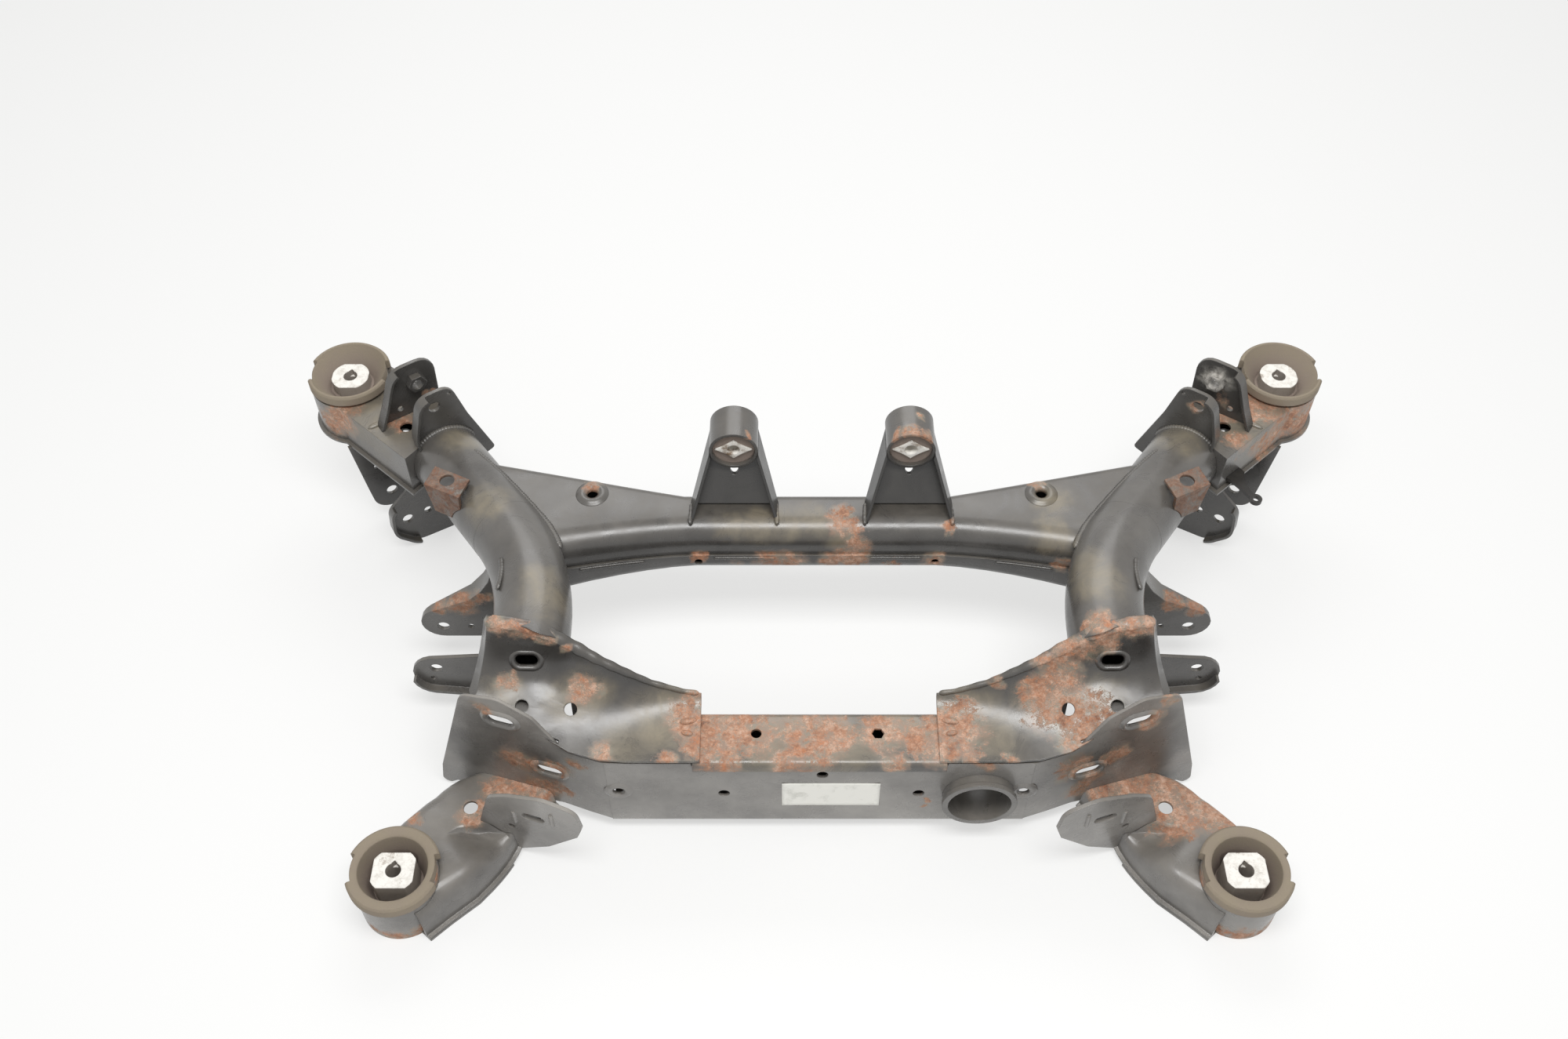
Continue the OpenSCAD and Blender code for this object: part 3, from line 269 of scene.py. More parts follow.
plateRust = [(-310, -151, 164, 9), (-287, -158, 87, 18), (-227, -176, 107, 9), (-246, -170, 88, 12),
             (304, -150, 150, 12), (302, -154, 140, 11), (240, -172, 96, 17), (282, -159, 98, 13),
             (264, -165, 66, 10), (318, -149, 174, 9), (-266, -164, 44, 16), (-252, -168, 50, 12),
             (155, -184, 121, 10), (252, -168, 48, 12), (100, -184, 59, 4), (100, -184, 51, 4),
             (101, -184, 43, 4)]
armLeftRust = [(-308, -162, 42, 17), (-289, -164, 42, 18), (-266, -168, 42, 16), (-332, -193, 42, 13),
               (-390, -197, 44, 8)]
armRightRust = [(341, -159, 42, 17), (319, -159, 42, 19), (291, -162, 42, 17), (275, -168, 42, 12),
                (340, -189, 42, 24), (380, -195, 44, 20), (391, -198, 43, 14), (352, -209, 43, 9),
                (362, -172, 42, 13)]
rearRust = [(-226, 101, 186, 8), (224, 101, 186, 8), (-81, 45, 138, 8), (-45, 45, 141, 13),
            (-25, 45, 138, 14), (15, 45, 138, 11), (34, 42, 150, 14), (70, 45, 138, 10), (119, 42, 144, 9),
            (-119, 42, 150, 7), (41, 40, 166, 12), (25, 59, 186, 13), (37, 51, 185, 10), (242, 26, 153, 7),
            (130, 48, 185, 6)]
rearTan = [(-87, 48, 185, 17), (-60, 51, 185, 19), (-33, 54, 186, 19), (-6, 59, 186, 19), (233, 32, 183, 19),
           (231, 49, 186, 16), (21, 40, 174, 16), (238, 79, 186, 20)]
# painted shade: the wings are darkened round their slots, in the hollows where shade falls, with some grime
# there too
wingShadeAndGrime = [(side * x, y, z, r) for side in (-1, 1) for x, y, z, r in
             ((272, -112, 178, 30), (247, -114, 172, 24), (296, -110, 184, 22), (225, -118, 160, 20),
              (205, -120, 150, 16))]
wingDents = [(side * x, y, z, r, depth) for side in (-1, 1) for x, y, z, r, depth in
             ((272, -110, 182, 30, 3.5), (240, -112, 172, 26, 2.5), (262, -138, 152, 20, -1.5))]
# painted shade: the folded link plates are darkened in patches where they face away from the light
plateShade = [(side * x, y, z, r) for side in (-1, 1) for x, y, z, r in
              ((325, -149, 100, 40), (300, -156, 128, 34), (272, -164, 98, 26), (318, -150, 140, 26),
               (333, -146, 70, 24))]
# painted shade: the arms are darkened in the pocket in front of each link bracket and round its slot
armShade = [(side * x, y, z, r) for side in (-1, 1) for x, y, z, r in
            ((266, -208, 77, 14), (268, -194, 66, 16), (284, -206, 84, 10), (262, -186, 52, 18),
             (279, -189, 31, 22))]
# painted shade: the inside of the nose sleeve is darkened
noseShade = [(152, -140, 68, 48)]
tubeRust = [(255, -92, 216, 15), (244, -91, 209, 9), (-300, 132, 186, 6), (318, 128, 186, 6)]
tubeTan = [(-260, -43, 216, 20), (-252, -59, 214, 24), (-327, 63, 205, 24), (-367, 164, 187, 22),
           (254, -19, 209, 20), (260, -43, 216, 24), (373, 163, 189, 26)]
midEarRust = [(-359, 14, 104, 15), (-338, 14, 113, 9), (-385, 14, 96, 9), (364, 14, 109, 12),
              (386, 14, 98, 10)]
boxLeftTan = [(-455, 205, 178, 45)]
boxRightTan = [(455, 205, 178, 45)]
boxLeftRust = [(-503, 220, 165, 18), (-439, 201, 178, 13), (-520, 225, 150, 14), (-412, 155, 190, 8)]
boxRightRust = [(468, 218, 178, 24), (493, 215, 157, 24), (515, 223, 161, 22), (438, 172, 178, 12),
                (432, 206, 178, 10), (467, 191, 158, 14), (530, 235, 150, 20), (480, 205, 140, 18)]
frontSleeveRust = [(-394, -301, 5, 15), (-372, -293, 6, 13), (-416, -294, 6, 12), (-358, -262, 50, 9),
                   (394, -301, 5, 17), (372, -293, 6, 14), (416, -294, 6, 14), (359, -262, 50, 12)]
driveRust = [(92, 97, 269, 11), (77, 97, 264, 9), (108, 97, 262, 9), (-68, 97, 262, 5), (100, 120, 268, 5)]
earRust = [(-410, 223, 197, 7), (393, 178, 220, 11), (430, 215, 200, 10), (445, 222, 190, 10)]
earBare = [(416, 217, 220, 15)]


# the same places with larger radii
def grown(places, by):
    return [(x, y, z, r * by) for x, y, z, r in places]


# bracket steel: bare stamping gone brown all over, so it looks dull, dark and pitted
bracketSettings = {"rust": [(-370, 90, 195, 60), (370, 90, 195, 60)], "speck": 0.5, "rustTone": 0.42}

# bush rubber: moulded black rubber, matt, bleached to a dusty beige on top and greyer in the cup
rubberSettings = {
    "top": "#938876", "deep": "#8d8077", "roughness": 0.82, "specular": 0.3,
    "cupDepth": 26.0, "rimBand": 1.0,                      # mm below the rim, end and start of the fade
    "cloud": 16.67, "bleach": {1: 0.25, 2: 0.65, 3: 0.5},  # mm, uneven bleach
    "grain": 1.6, "grainRise": 0.6, "grainShare": 0.4,     # mm, size and relief of the grain
    "edgeRadius": 1.6,                                     # mm, how round the moulded edges look
}


def bushRubber(name, rimHeight):
    s = rubberSettings
    material, tree, shader = newMaterial(name)
    place = addNode(tree, "ShaderNodeTexCoord", {}, {}, "Object")
    height = addNode(tree, "ShaderNodeSeparateXYZ", {}, {0: place}, "Z")
    cup, rim = (rimHeight - s["cupDepth"]) * mm, (rimHeight - s["rimBand"]) * mm
    fade = addNode(tree, rangeNode, softly, {0: height, 1: cup, 2: rim}, 0)
    cloud = addNode(tree, noiseNode, {},
                    {"Vector": place, "Scale": scaleFor(s["cloud"]), "Detail": 6.0, "Roughness": 0.7}, 0)
    bleach = addNode(tree, rangeNode, {}, {0: cloud, **s["bleach"]}, 0)
    fade = addNode(tree, mathNode, multiply, {0: fade, 1: bleach}, 0)
    colour = addNode(tree, mixNode, ofColour, {0: fade, 6: hexColour(s["deep"]), 7: hexColour(s["top"])}, 2)
    grain = addNode(tree, noiseNode, {}, {"Vector": place, "Scale": scaleFor(s["grain"]), "Detail": 4.0}, 0)
    edge = addNode(tree, "ShaderNodeBevel", {"samples": 4}, {"Radius": s["edgeRadius"] * mm}, 0)
    bump = addNode(tree, "ShaderNodeBump", {},
                   {"Strength": s["grainShare"], "Distance": s["grainRise"] * mm, "Height": grain,
                    "Normal": edge}, 0)
    plug(tree, shader, {"Base Color": colour, "Normal": bump, "Roughness": s["roughness"],
                        "Specular IOR Level": s["specular"]})
    return material


# bush core: cast alloy under white oxide bloom, chalky, with grey and brown stains, and its steep faces a
# greyer brown than its level ones
coreSettings = {
    "chalk": "#f4f1ea", "grey": "#c9c4ba", "brown": "#86715c", "side": "#8a8076", "roughness": 0.75,
    "bloom": 7.69, "bloomSpan": {1: 0.72, 2: 0.46},        # mm, chalk over grey
    "bloomRise": 0.5, "bloomShare": 0.5,                   # mm, relief of the bloom
    "stain": 13.33, "stainFrom": 0.62, "stainTo": 0.78,    # mm, brown stains
    "sideSpan": {1: 0.75, 2: 0.25},                        # from level faces to steep ones
    "edgeRadius": 1.8,                                     # mm, how round the cast edges look
}


# stain adds to the brown stains, sides is how far the steep faces turn to that greyer brown
def oxidisedAlloy(name, stain, sides):
    s = coreSettings
    material, tree, shader = newMaterial(name)
    place = addNode(tree, "ShaderNodeTexCoord", {}, {}, "Object")
    bloom = addNode(tree, noiseNode, {},
                    {"Vector": place, "Scale": scaleFor(s["bloom"]), "Detail": 7.0, "Roughness": 0.75}, 0)
    pale = addNode(tree, rangeNode, {}, {0: bloom, **s["bloomSpan"]}, 0)
    colour = addNode(tree, mixNode, ofColour,
                     {0: pale, 6: hexColour(s["grey"]), 7: hexColour(s["chalk"])}, 2)
    spot = addNode(tree, noiseNode, {},
                   {"Vector": place, "Scale": scaleFor(s["stain"]), "Detail": 5.0, "Roughness": 0.7}, 0)
    mark = addNode(tree, rangeNode, {}, {0: spot, 1: s["stainFrom"] - stain, 2: s["stainTo"] - stain}, 0)
    colour = addNode(tree, mixNode, ofColour, {0: mark, 6: colour, 7: hexColour(s["brown"])}, 2)
    normal = addNode(tree, "ShaderNodeNewGeometry", {}, {}, "Normal")
    up = addNode(tree, "ShaderNodeSeparateXYZ", {}, {0: normal}, "Z")
    steep = addNode(tree, rangeNode, {}, {0: up, **s["sideSpan"], 4: sides}, 0)
    colour = addNode(tree, mixNode, ofColour, {0: steep, 6: colour, 7: hexColour(s["side"])}, 2)
    edge = addNode(tree, "ShaderNodeBevel", {"samples": 4}, {"Radius": s["edgeRadius"] * mm}, 0)
    bump = addNode(tree, "ShaderNodeBump", {},
                   {"Strength": s["bloomShare"], "Distance": s["bloomRise"] * mm, "Height": bloom,
                    "Normal": edge}, 0)
    plug(tree, shader, {"Base Color": colour, "Normal": bump, "Roughness": s["roughness"], "Metallic": 0.0})
    return material


# label stock: blank coated paper, white with grey smudges from handling
paperSettings = {"white": "#f0efe8", "smudged": "#a7a79c", "roughness": 0.5,
                 "smudge": 18.18, "smudgeSpan": {1: 0.52, 2: 0.78, 4: 0.7}}  # mm


def labelPaper(name):
    s = paperSettings
    material, tree, shader = newMaterial(name)
    place = addNode(tree, "ShaderNodeTexCoord", {}, {}, "Object")
    smudge = addNode(tree, noiseNode, {},
                     {"Vector": place, "Scale": scaleFor(s["smudge"]), "Detail": 6.0, "Roughness": 0.7}, 0)
    dirt = addNode(tree, rangeNode, {}, {0: smudge, **s["smudgeSpan"]}, 0)
    colour = addNode(tree, mixNode, ofColour,
                     {0: dirt, 6: hexColour(s["white"]), 7: hexColour(s["smudged"])}, 2)
    plug(tree, shader, {"Base Color": colour, "Roughness": s["roughness"]})
    return material


# clip steel: black dipped wire form, glossier than the frame
clipSettings = {"dark": "#161514", "light": "#35322e", "roughness": 0.35, "cloud": 7.14}  # mm


def dippedSteel(name):
    s = clipSettings
    material, tree, shader = newMaterial(name)
    place = addNode(tree, "ShaderNodeTexCoord", {}, {}, "Object")
    cloud = addNode(tree, noiseNode, {}, {"Vector": place, "Scale": scaleFor(s["cloud"]), "Detail": 5.0}, 0)
    colour = addNode(tree, mixNode, ofColour,
                     {0: cloud, 6: hexColour(s["dark"]), 7: hexColour(s["light"])}, 2)
    plug(tree, shader, {"Base Color": colour, "Roughness": s["roughness"]})
    return material


# the tone of each finish is a painted light level: parts that more light falls on, such as the front plates,
# arms, sleeves and nose, are painted lighter, and parts in shade, such as the wings and drive webs, darker
finishes = {
    "strip": chassisPaint("chassis_paint_strip", stripRust, stripTan, speck=0.5),
    "wingLeft": chassisPaint("chassis_paint_wing_left", wingLeftRust, wingLeftTan, shadeAndGrime=wingShadeAndGrime,
                             dents=wingDents, dustShare=0.22, toneAndLight=0.85, shadeAndGrimeShare=0.2),
    "wingRight": chassisPaint("chassis_paint_wing_right", wingRightRust, wingRightTan, shadeAndGrime=wingShadeAndGrime,
                              dents=wingDents, dustShare=0.22, speck=0.4, toneAndLight=0.8, shadeAndGrimeShare=0.25),
    "plate": chassisPaint("chassis_paint_front_plate", grown(plateRust, 1.25), shadeAndGrime=plateShade,
                          speck=0.1, toneAndLight=3.1, shadeAndGrimeShare=0.6),
    "nose": chassisPaint("chassis_paint_nose", shadeAndGrime=noseShade, speck=0.2, toneAndLight=2.0, shadeAndGrimeShare=0.96),
    "armLeft": chassisPaint("chassis_paint_arm_left", grown(armLeftRust, 1.35), shadeAndGrime=armShade,
                            speck=0.12, toneAndLight=2.2, shadeAndGrimeShare=0.92),
    "armRight": chassisPaint("chassis_paint_arm_right", grown(armRightRust, 1.35), shadeAndGrime=armShade,
                             speck=0.16, toneAndLight=2.2, shadeAndGrimeShare=0.92),
    "rear": chassisPaint("chassis_paint_rear", grown(rearRust, 1.35), rearTan, dustShare=0.22,
                         speck=0.26, toneAndLight=0.9),
    "tube": chassisPaint("chassis_paint_tube", tubeRust, tubeTan, dustShare=0.16, speck=0.2, toneAndLight=1.2),
    "midEar": chassisPaint("chassis_paint_mid_ear", grown(midEarRust, 1.2), toneAndLight=1.3),
    "boxLeft": chassisPaint("chassis_paint_box_left", grown(boxLeftRust, 1.4), boxLeftTan,
                            speck=0.4, toneAndLight=1.4),
    "boxRight": chassisPaint("chassis_paint_box_right", grown(boxRightRust, 1.3), boxRightTan,
                             speck=0.45, toneAndLight=1.4),
    "sleeve": chassisPaint("chassis_paint_sleeve", frontSleeveRust, speck=0.2, toneAndLight=2.6),
    "drive": chassisPaint("chassis_paint_drive", driveRust, dustShare=0.2, speck=0.22, toneAndLight=1.1),
    # painted shade: the drive webs are painted near black for the shade between the flanges of their
    # brackets
    "web": chassisPaint("chassis_paint_web", dustShare=0.1, speck=0.18, toneAndLight=0.25),
    "ear": chassisPaint("chassis_paint_ear", earRust, bare=earBare, speck=0.24, toneAndLight=0.8),
    "bracket": chassisPaint("rusted_bracket_steel", **bracketSettings),
    # the drive rubbers lie far below the height given, so they have the colour of the cup all over
    "frontRubber": bushRubber("bush_rubber_front", rimHeight=65),
    "rearRubber": bushRubber("bush_rubber_rear", rimHeight=193),
    "driveRubber": bushRubber("bush_rubber_drive", rimHeight=330),
    "core": oxidisedAlloy("oxidised_alloy", stain=0.04, sides=0.85),
    "driveCore": oxidisedAlloy("oxidised_alloy_stained", stain=0.10, sides=0.0),
    "label": labelPaper("label_paper"),
    "clip": dippedSteel("dipped_clip_steel"),
}
# finish by the start of a piece's name, and the first match wins
finishOf = [
    ("front_crossmember_rear", "strip"), ("front_crossmember_front", "plate"), ("nose_sleeve", "nose"),
    ("wing_left", "wingLeft"), ("wing_right", "wingRight"),
    ("front_arm_upper_left", "armLeft"), ("front_arm_lower_left", "armLeft"),
    ("front_arm_upper_right", "armRight"), ("front_arm_lower_right", "armRight"),
    ("front_link_bracket", "plate"), ("rear_crossmember", "rear"), ("side_tube", "tube"),
    ("mid_ear", "midEar"), ("rear_box_upper_left", "boxLeft"), ("rear_box_lower_left", "boxLeft"),
    ("rear_sleeve_left", "boxLeft"), ("rear_box_upper_right", "boxRight"),
    ("rear_box_lower_right", "boxRight"), ("rear_sleeve_right", "boxRight"),
    ("front_sleeve", "sleeve"), ("drive_sleeve", "drive"), ("drive_bracket", "web"),
    ("front_bush_rubber", "frontRubber"), ("rear_bush_rubber", "rearRubber"),
    ("drive_rubber", "driveRubber"), ("drive_core", "driveCore"), ("front_bush_core", "core"),
    ("rear_bush_core", "core"), ("roll_bar", "bracket"), ("weld_nuts", "ear"), ("cable_clip", "clip"),
    ("upper_ear", "ear"), ("lower_ear", "ear"),
]
for name, node in nodes.items():
    finish = next(f for start, f in finishOf if name.startswith(start))
    node.data.materials.clear()
    node.data.materials.append(finishes[finish])
print("finishes set:", len(finishes))

# pressed sheet is smooth, so faces that meet at less than the angle shade as one surface,
# and the bush cores have worn, rounded corners
shellSettings = {"angle": 32, "merge": 0.02, "cornerWidth": 2.5, "cornerSteps": 4}  # degrees, mm


def smoothShade(angle, merge):
    group = bpy.data.node_groups.new("smooth_shade", "GeometryNodeTree")
    group.interface.new_socket("Geometry", in_out="INPUT", socket_type="NodeSocketGeometry")
    group.interface.new_socket("Geometry", in_out="OUTPUT", socket_type="NodeSocketGeometry")
    shape = addNode(group, "NodeGroupInput", {}, {}, 0)
    shape = addNode(group, "GeometryNodeRemoveAttribute", {}, {0: shape, "Name": "custom_normal"}, 0)
    shape = addNode(group, "GeometryNodeMergeByDistance", {}, {0: shape, "Distance": merge}, 0)
    shape = addNode(group, "GeometryNodeSetShadeSmooth", {"domain": "FACE"},
                    {0: shape, "Shade Smooth": True}, 0)
    bend = addNode(group, "GeometryNodeInputMeshEdgeAngle", {}, {}, "Unsigned Angle")
    sharp = addNode(group, "FunctionNodeCompare", {"operation": "GREATER_THAN"}, {0: bend, 1: angle}, 0)
    shape = addNode(group, "GeometryNodeSetShadeSmooth", {"domain": "EDGE"},
                    {0: shape, "Selection": sharp, "Shade Smooth": False}, 0)
    addNode(group, "NodeGroupOutput", {"is_active_output": True}, {0: shape})
    return group


s = shellSettings
smooth = smoothShade(math.radians(s["angle"]), s["merge"] * mm)
for name, node in nodes.items():
    node.modifiers.new("smooth_shade", "NODES").node_group = smooth
    if "bush_core" in name:
        worn = node.modifiers.new("worn_corners", "BEVEL")
        worn.width, worn.segments = s["cornerWidth"] * mm, s["cornerSteps"]
        worn.limit_method, worn.angle_limit = "ANGLE", math.radians(s["angle"])
print("shells smoothed")


# grids of points become one mesh: each grid is rows x columns x 3, in mm; a rod closes round its
# columns and has end caps, a ring closes both ways, a sheet stays open; faces point outwards
def gridPiece(name, grids, material, form="rod"):
    points, faces, start = [], [], 0
    for grid in grids:
        rows, cols = grid.shape[:2]
        points.append(grid.reshape(-1, 3))
        i, j = np.meshgrid(np.arange(rows if form == "ring" else rows - 1),
                           np.arange(cols - 1 if form == "sheet" else cols), indexing="ij")
        below, after = (i + 1) % rows, (j + 1) % cols
        quads = np.stack([i * cols + j, below * cols + j, below * cols + after, i * cols + after], -1)
        faces += (quads.reshape(-1, 4) + start).tolist()
        if form == "rod":
            faces.append((np.arange(cols) + start).tolist())
            faces.append((np.arange(cols)[::-1] + (rows - 1) * cols + start).tolist())
        start += rows * cols
    mesh = bpy.data.meshes.new(name)
    mesh.from_pydata((np.concatenate(points) * mm).tolist(), [], faces)
    mesh.validate()
    mesh.shade_smooth()
    piece = bpy.data.objects.new(name, mesh)
    bpy.context.scene.collection.objects.link(piece)
    mesh.materials.append(material)
    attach(piece, "root")
    return piece


# a bead: an ellipse of the given width and height carried along a path. Its size follows a quarter
# circle up from each end, a cosine of the given pitch for the ripple of a moving weld pool, and a
# slow sine. Normals say which way the bead stands up, width is one number or one for each path point
beadSettings = {"step": 0.8, "fewest": 12, "tip": 0.0025, "slowShare": 0.06, "slowRate": 0.37}


def bead(path, normals, width, height, pitch=3.2, ripple=0.13, sides=12):
    b = beadSettings
    path = np.asarray(path, float)
    normals = np.broadcast_to(np.asarray(normals, float), path.shape)
    reach = np.concatenate([[0], np.cumsum(np.linalg.norm(np.diff(path, axis=0), axis=1))])
    s = np.linspace(0, reach[-1], max(b["fewest"], int(reach[-1] / b["step"])))
    line = np.stack([np.interp(s, reach, path[:, k]) for k in range(3)], -1)
    up = np.stack([np.interp(s, reach, normals[:, k]) for k in range(3)], -1)
    along = np.gradient(line, axis=0)
    along /= np.linalg.norm(along, axis=1, keepdims=True)
    up -= (up * along).sum(1, keepdims=True) * along
    up /= np.linalg.norm(up, axis=1, keepdims=True)
    side = np.cross(along, up)
    width = np.interp(s, reach, np.broadcast_to(np.asarray(width, float), len(path)))
    end = np.minimum(s, reach[-1] - s)
    swell = np.sqrt(np.clip(1 - (1 - np.clip(end / width, 0, 1)) ** 2, b["tip"], 1))
    swell = swell * (1 + ripple * np.cos(2 * math.pi * s / pitch)
                     + b["slowShare"] * np.sin(s * b["slowRate"] + path[0, 0]))
    a = np.linspace(0, 2 * math.pi, sides, endpoint=False)
    ring = (np.cos(a)[None, :, None] * side[:, None] * width[:, None, None] / 2
            + np.sin(a)[None, :, None] * up[:, None] * height)
    return line[:, None] + ring * swell[:, None, None]


# all triangles of some pieces, in mm
def trianglesOf(names):
    found = []
    for name in names:
        mesh = nodes[name].data
        mesh.calc_loop_triangles()
        place = np.zeros(len(mesh.vertices) * 3)
        mesh.vertices.foreach_get("co", place)
        corner = np.zeros(len(mesh.loop_triangles) * 3, np.int32)
        mesh.loop_triangles.foreach_get("vertices", corner)
        found.append(place.reshape(-1, 3)[corner.reshape(-1, 3)] / mm)
    return np.concatenate(found)


# rays from each start along one direction: the first hit on the triangles and the face normal there
def dropOnto(starts, direction, names):
    tri = trianglesOf(names)
    tiny = 1e-9
    d = np.asarray(direction, float) / np.linalg.norm(direction)
    starts = np.asarray(starts, float)
    e1, e2 = tri[:, 1] - tri[:, 0], tri[:, 2] - tri[:, 0]
    h = np.cross(d, e2)
    det = (e1 * h).sum(1)
    det = np.where(np.abs(det) < tiny, tiny, det)
    away = starts[:, None] - tri[None, :, 0]
    u = (away * h).sum(2) / det
    q = np.cross(away, e1[None])
    v = (q * d).sum(2) / det
    t = (q * e2).sum(2) / det
    t = np.where((u >= 0) & (v >= 0) & (u + v <= 1) & (t > 0), t, np.inf)
    best = t.argmin(1)
    gap = t[np.arange(len(starts)), best]
    n = np.cross(e1, e2)[best]
    n /= np.linalg.norm(n, axis=1, keepdims=True)
    n *= -np.sign((n * d).sum(1, keepdims=True))
    keep = np.isfinite(gap)
    return starts[keep] + d * gap[keep, None], n[keep]


# the same grid on the other side of the frame, with its columns turned so that faces stay outward
def mirrored(grid):
    return grid[:, ::-1] * np.array([-1, 1, 1])


# centre line of the right side tube, as the frame has it: straight to bendY, then an arc of radius
# bendR through the angle bend, then straight again, in a plane that leans outwards
tubeSettings = {"x": 270, "z": 182, "bendY": -75, "bendR": 220, "bend": 35, "lean": 15, "r": 37}


def tubeCentre(y):
    s = tubeSettings
    a = math.radians(s["bend"])
    run = np.clip(np.asarray(y, float) - s["bendY"], 0, None)
    turn = s["bendR"] - np.sqrt(np.clip(s["bendR"] ** 2 - run ** 2, 0, None))
    straight = s["bendR"] * (1 - math.cos(a)) + (run - s["bendR"] * math.sin(a)) * math.tan(a)
    out = np.where(run < s["bendR"] * math.sin(a), turn, straight)
    lean = math.radians(s["lean"])
    return s["x"] + math.cos(lean) * out, s["z"] - math.sin(lean) * out


# rear crossmember to side tube, along the top
weldSettings = {"top": 186, "y": (150, 20), "points": 40, "sink": 0.5, "lift": 0.4, "up": (-0.6, 0.2, 0.8),
                "width": 7.0, "height": 2.6}
s = weldSettings
y = np.linspace(*s["y"], s["points"])
cx, cz = tubeCentre(y)
slope = np.gradient(cx, y)
reach = np.sqrt(np.clip(tubeSettings["r"] ** 2 - (s["top"] - cz) ** 2, 0, None))
topLine = np.stack([cx - reach * np.sqrt(1 + slope ** 2) - s["sink"], y,
                    np.full_like(y, s["top"] + s["lift"])], -1)
topWeld = bead(topLine, s["up"], s["width"], s["height"])
weldsRear = [topWeld, mirrored(topWeld)]
# seam between the two shells of the rear crossmember, with ripples where it was welded
seamSettings = {"runs": ((-104, -42), (52, 106), (-238, -172), (178, 236)), "points": 24,
                "from": -60.0, "z": 147.5, "width": 4.0, "height": 1.5, "pitch": 2.4}
s = seamSettings
for run in s["runs"]:
    starts = np.linspace((run[0], s["from"], s["z"]), (run[1], s["from"], s["z"]), s["points"])
    path, up = dropOnto(starts, (0, 1, 0), ["rear_crossmember_upper", "rear_crossmember_lower"])
    weldsRear.append(bead(path, up, s["width"], s["height"], s["pitch"]))
# feet of the drive brackets: x of each foot and the side that it leans to
footSettings = {"feet": ((-125.5, 1), (-40.5, -1), (47.5, 1), (133.5, -1)), "y": (49, 77), "z": 187.0,
                "shift": (-0.5, 1.0), "up": (-0.3, -0.2, 1), "points": 16,
                "width": 5.0, "height": 3.2, "pitch": 6, "ripple": 0.06}
s = footSettings
for x, lean in s["feet"]:
    ends = [(x + lean * shift, y, s["z"]) for shift, y in zip(s["shift"], s["y"])]
    path = np.linspace(*ends, s["points"])
    up = np.array(s["up"]) * (lean, 1, 1)
    weldsRear.append(bead(path, up, s["width"], s["height"], s["pitch"], s["ripple"]))
gridPiece("welds_rear", weldsRear, finishes["rear"])

# upper inner ears to tubes: along the ear's foot, just clear of its plate, dropped onto the tube
earSettings = {"inner": (393, 180, 400), "turn": 34, "plate": 4, "clear": 1.0, "run": (-48, 30),
               "points": 34, "width": 6.5, "height": 2.6}
s = earSettings
turn = math.radians(s["turn"])
run = np.linspace(*s["run"], s["points"])[:, None]
foot = (np.array(s["inner"], float) + run * np.array([math.cos(turn), -math.sin(turn), 0])
        - (s["plate"] / 2 + s["clear"]) * np.array([math.sin(turn), math.cos(turn), 0]))
path, up = dropOnto(foot, (0, 0, -1), ["side_tube_right"])
weldsTube = [bead(path, up, s["width"], s["height"])]
# short crescent on the outer side of the tube
crescentSettings = {"path": [(303, -10, 209), (301, -22, 208), (301, -34, 207.5), (303, -46, 205)],
                    "up": (0.7, 0, 0.7), "width": 6.0, "height": 2.2, "ripple": 0.05}
s = crescentSettings
weldsTube.append(bead(s["path"], s["up"], s["width"], s["height"], ripple=s["ripple"]))
weldsTube += [mirrored(g) for g in weldsTube]
gridPiece("welds_tube", weldsTube, finishes["tube"])
# ridge across the top of the rear box
ridgeSettings = {"from": (474, 185, 260), "to": (441, 208, 260), "points": 20,
                 "width": 6.0, "height": 2.4, "pitch": 9, "ripple": 0.04}
s = ridgeSettings
path, up = dropOnto(np.linspace(s["from"], s["to"], s["points"]), (0, 0, -1), ["rear_box_upper_right"])
ridge = bead(path, up, s["width"], s["height"], s["pitch"], s["ripple"])
gridPiece("ridge_right", [ridge], finishes["boxRight"])
gridPiece("ridge_left", [mirrored(ridge)], finishes["boxLeft"])
print("welds made")


# a ring standing on a face: a rounded step carried round a circle or a slot. The step's height is a
# power of a sine over the ring's width; half is half the straight part of a slot, rise is how far the
# step stands off the face, and the ring's foot is sunk into the sheet by the depth root
ringSettings = {"steps": 9, "count": 48, "lip": 0.12, "power": 1.4, "sink": 0.2, "root": 1.2}


def rimRing(centre, across, upward, inner, outer, rise, half=0.0):
    s = ringSettings
    a = np.linspace(0, 2 * math.pi, s["count"], endpoint=False)
    t = np.linspace(0, 1, s["steps"])
    radius = inner + (outer - inner) * t
    arch = np.sin(math.pi * np.clip(s["lip"] + (1 - s["lip"]) * t, 0, 1))
    lift = rise * arch ** s["power"] - s["sink"]
    radius, lift = np.append(radius, (outer, inner)), np.append(lift, (-s["root"], -s["root"]))
    u = np.cos(a)[None] * radius[:, None] + half * np.sign(np.cos(a))[None]
    v = np.sin(a)[None] * radius[:, None]
    across, upward = np.asarray(across, float), np.asarray(upward, float)
    out = np.cross(across, upward)
    return (np.asarray(centre, float) + u[..., None] * across + v[..., None] * upward
            + lift[:, None, None] * out)


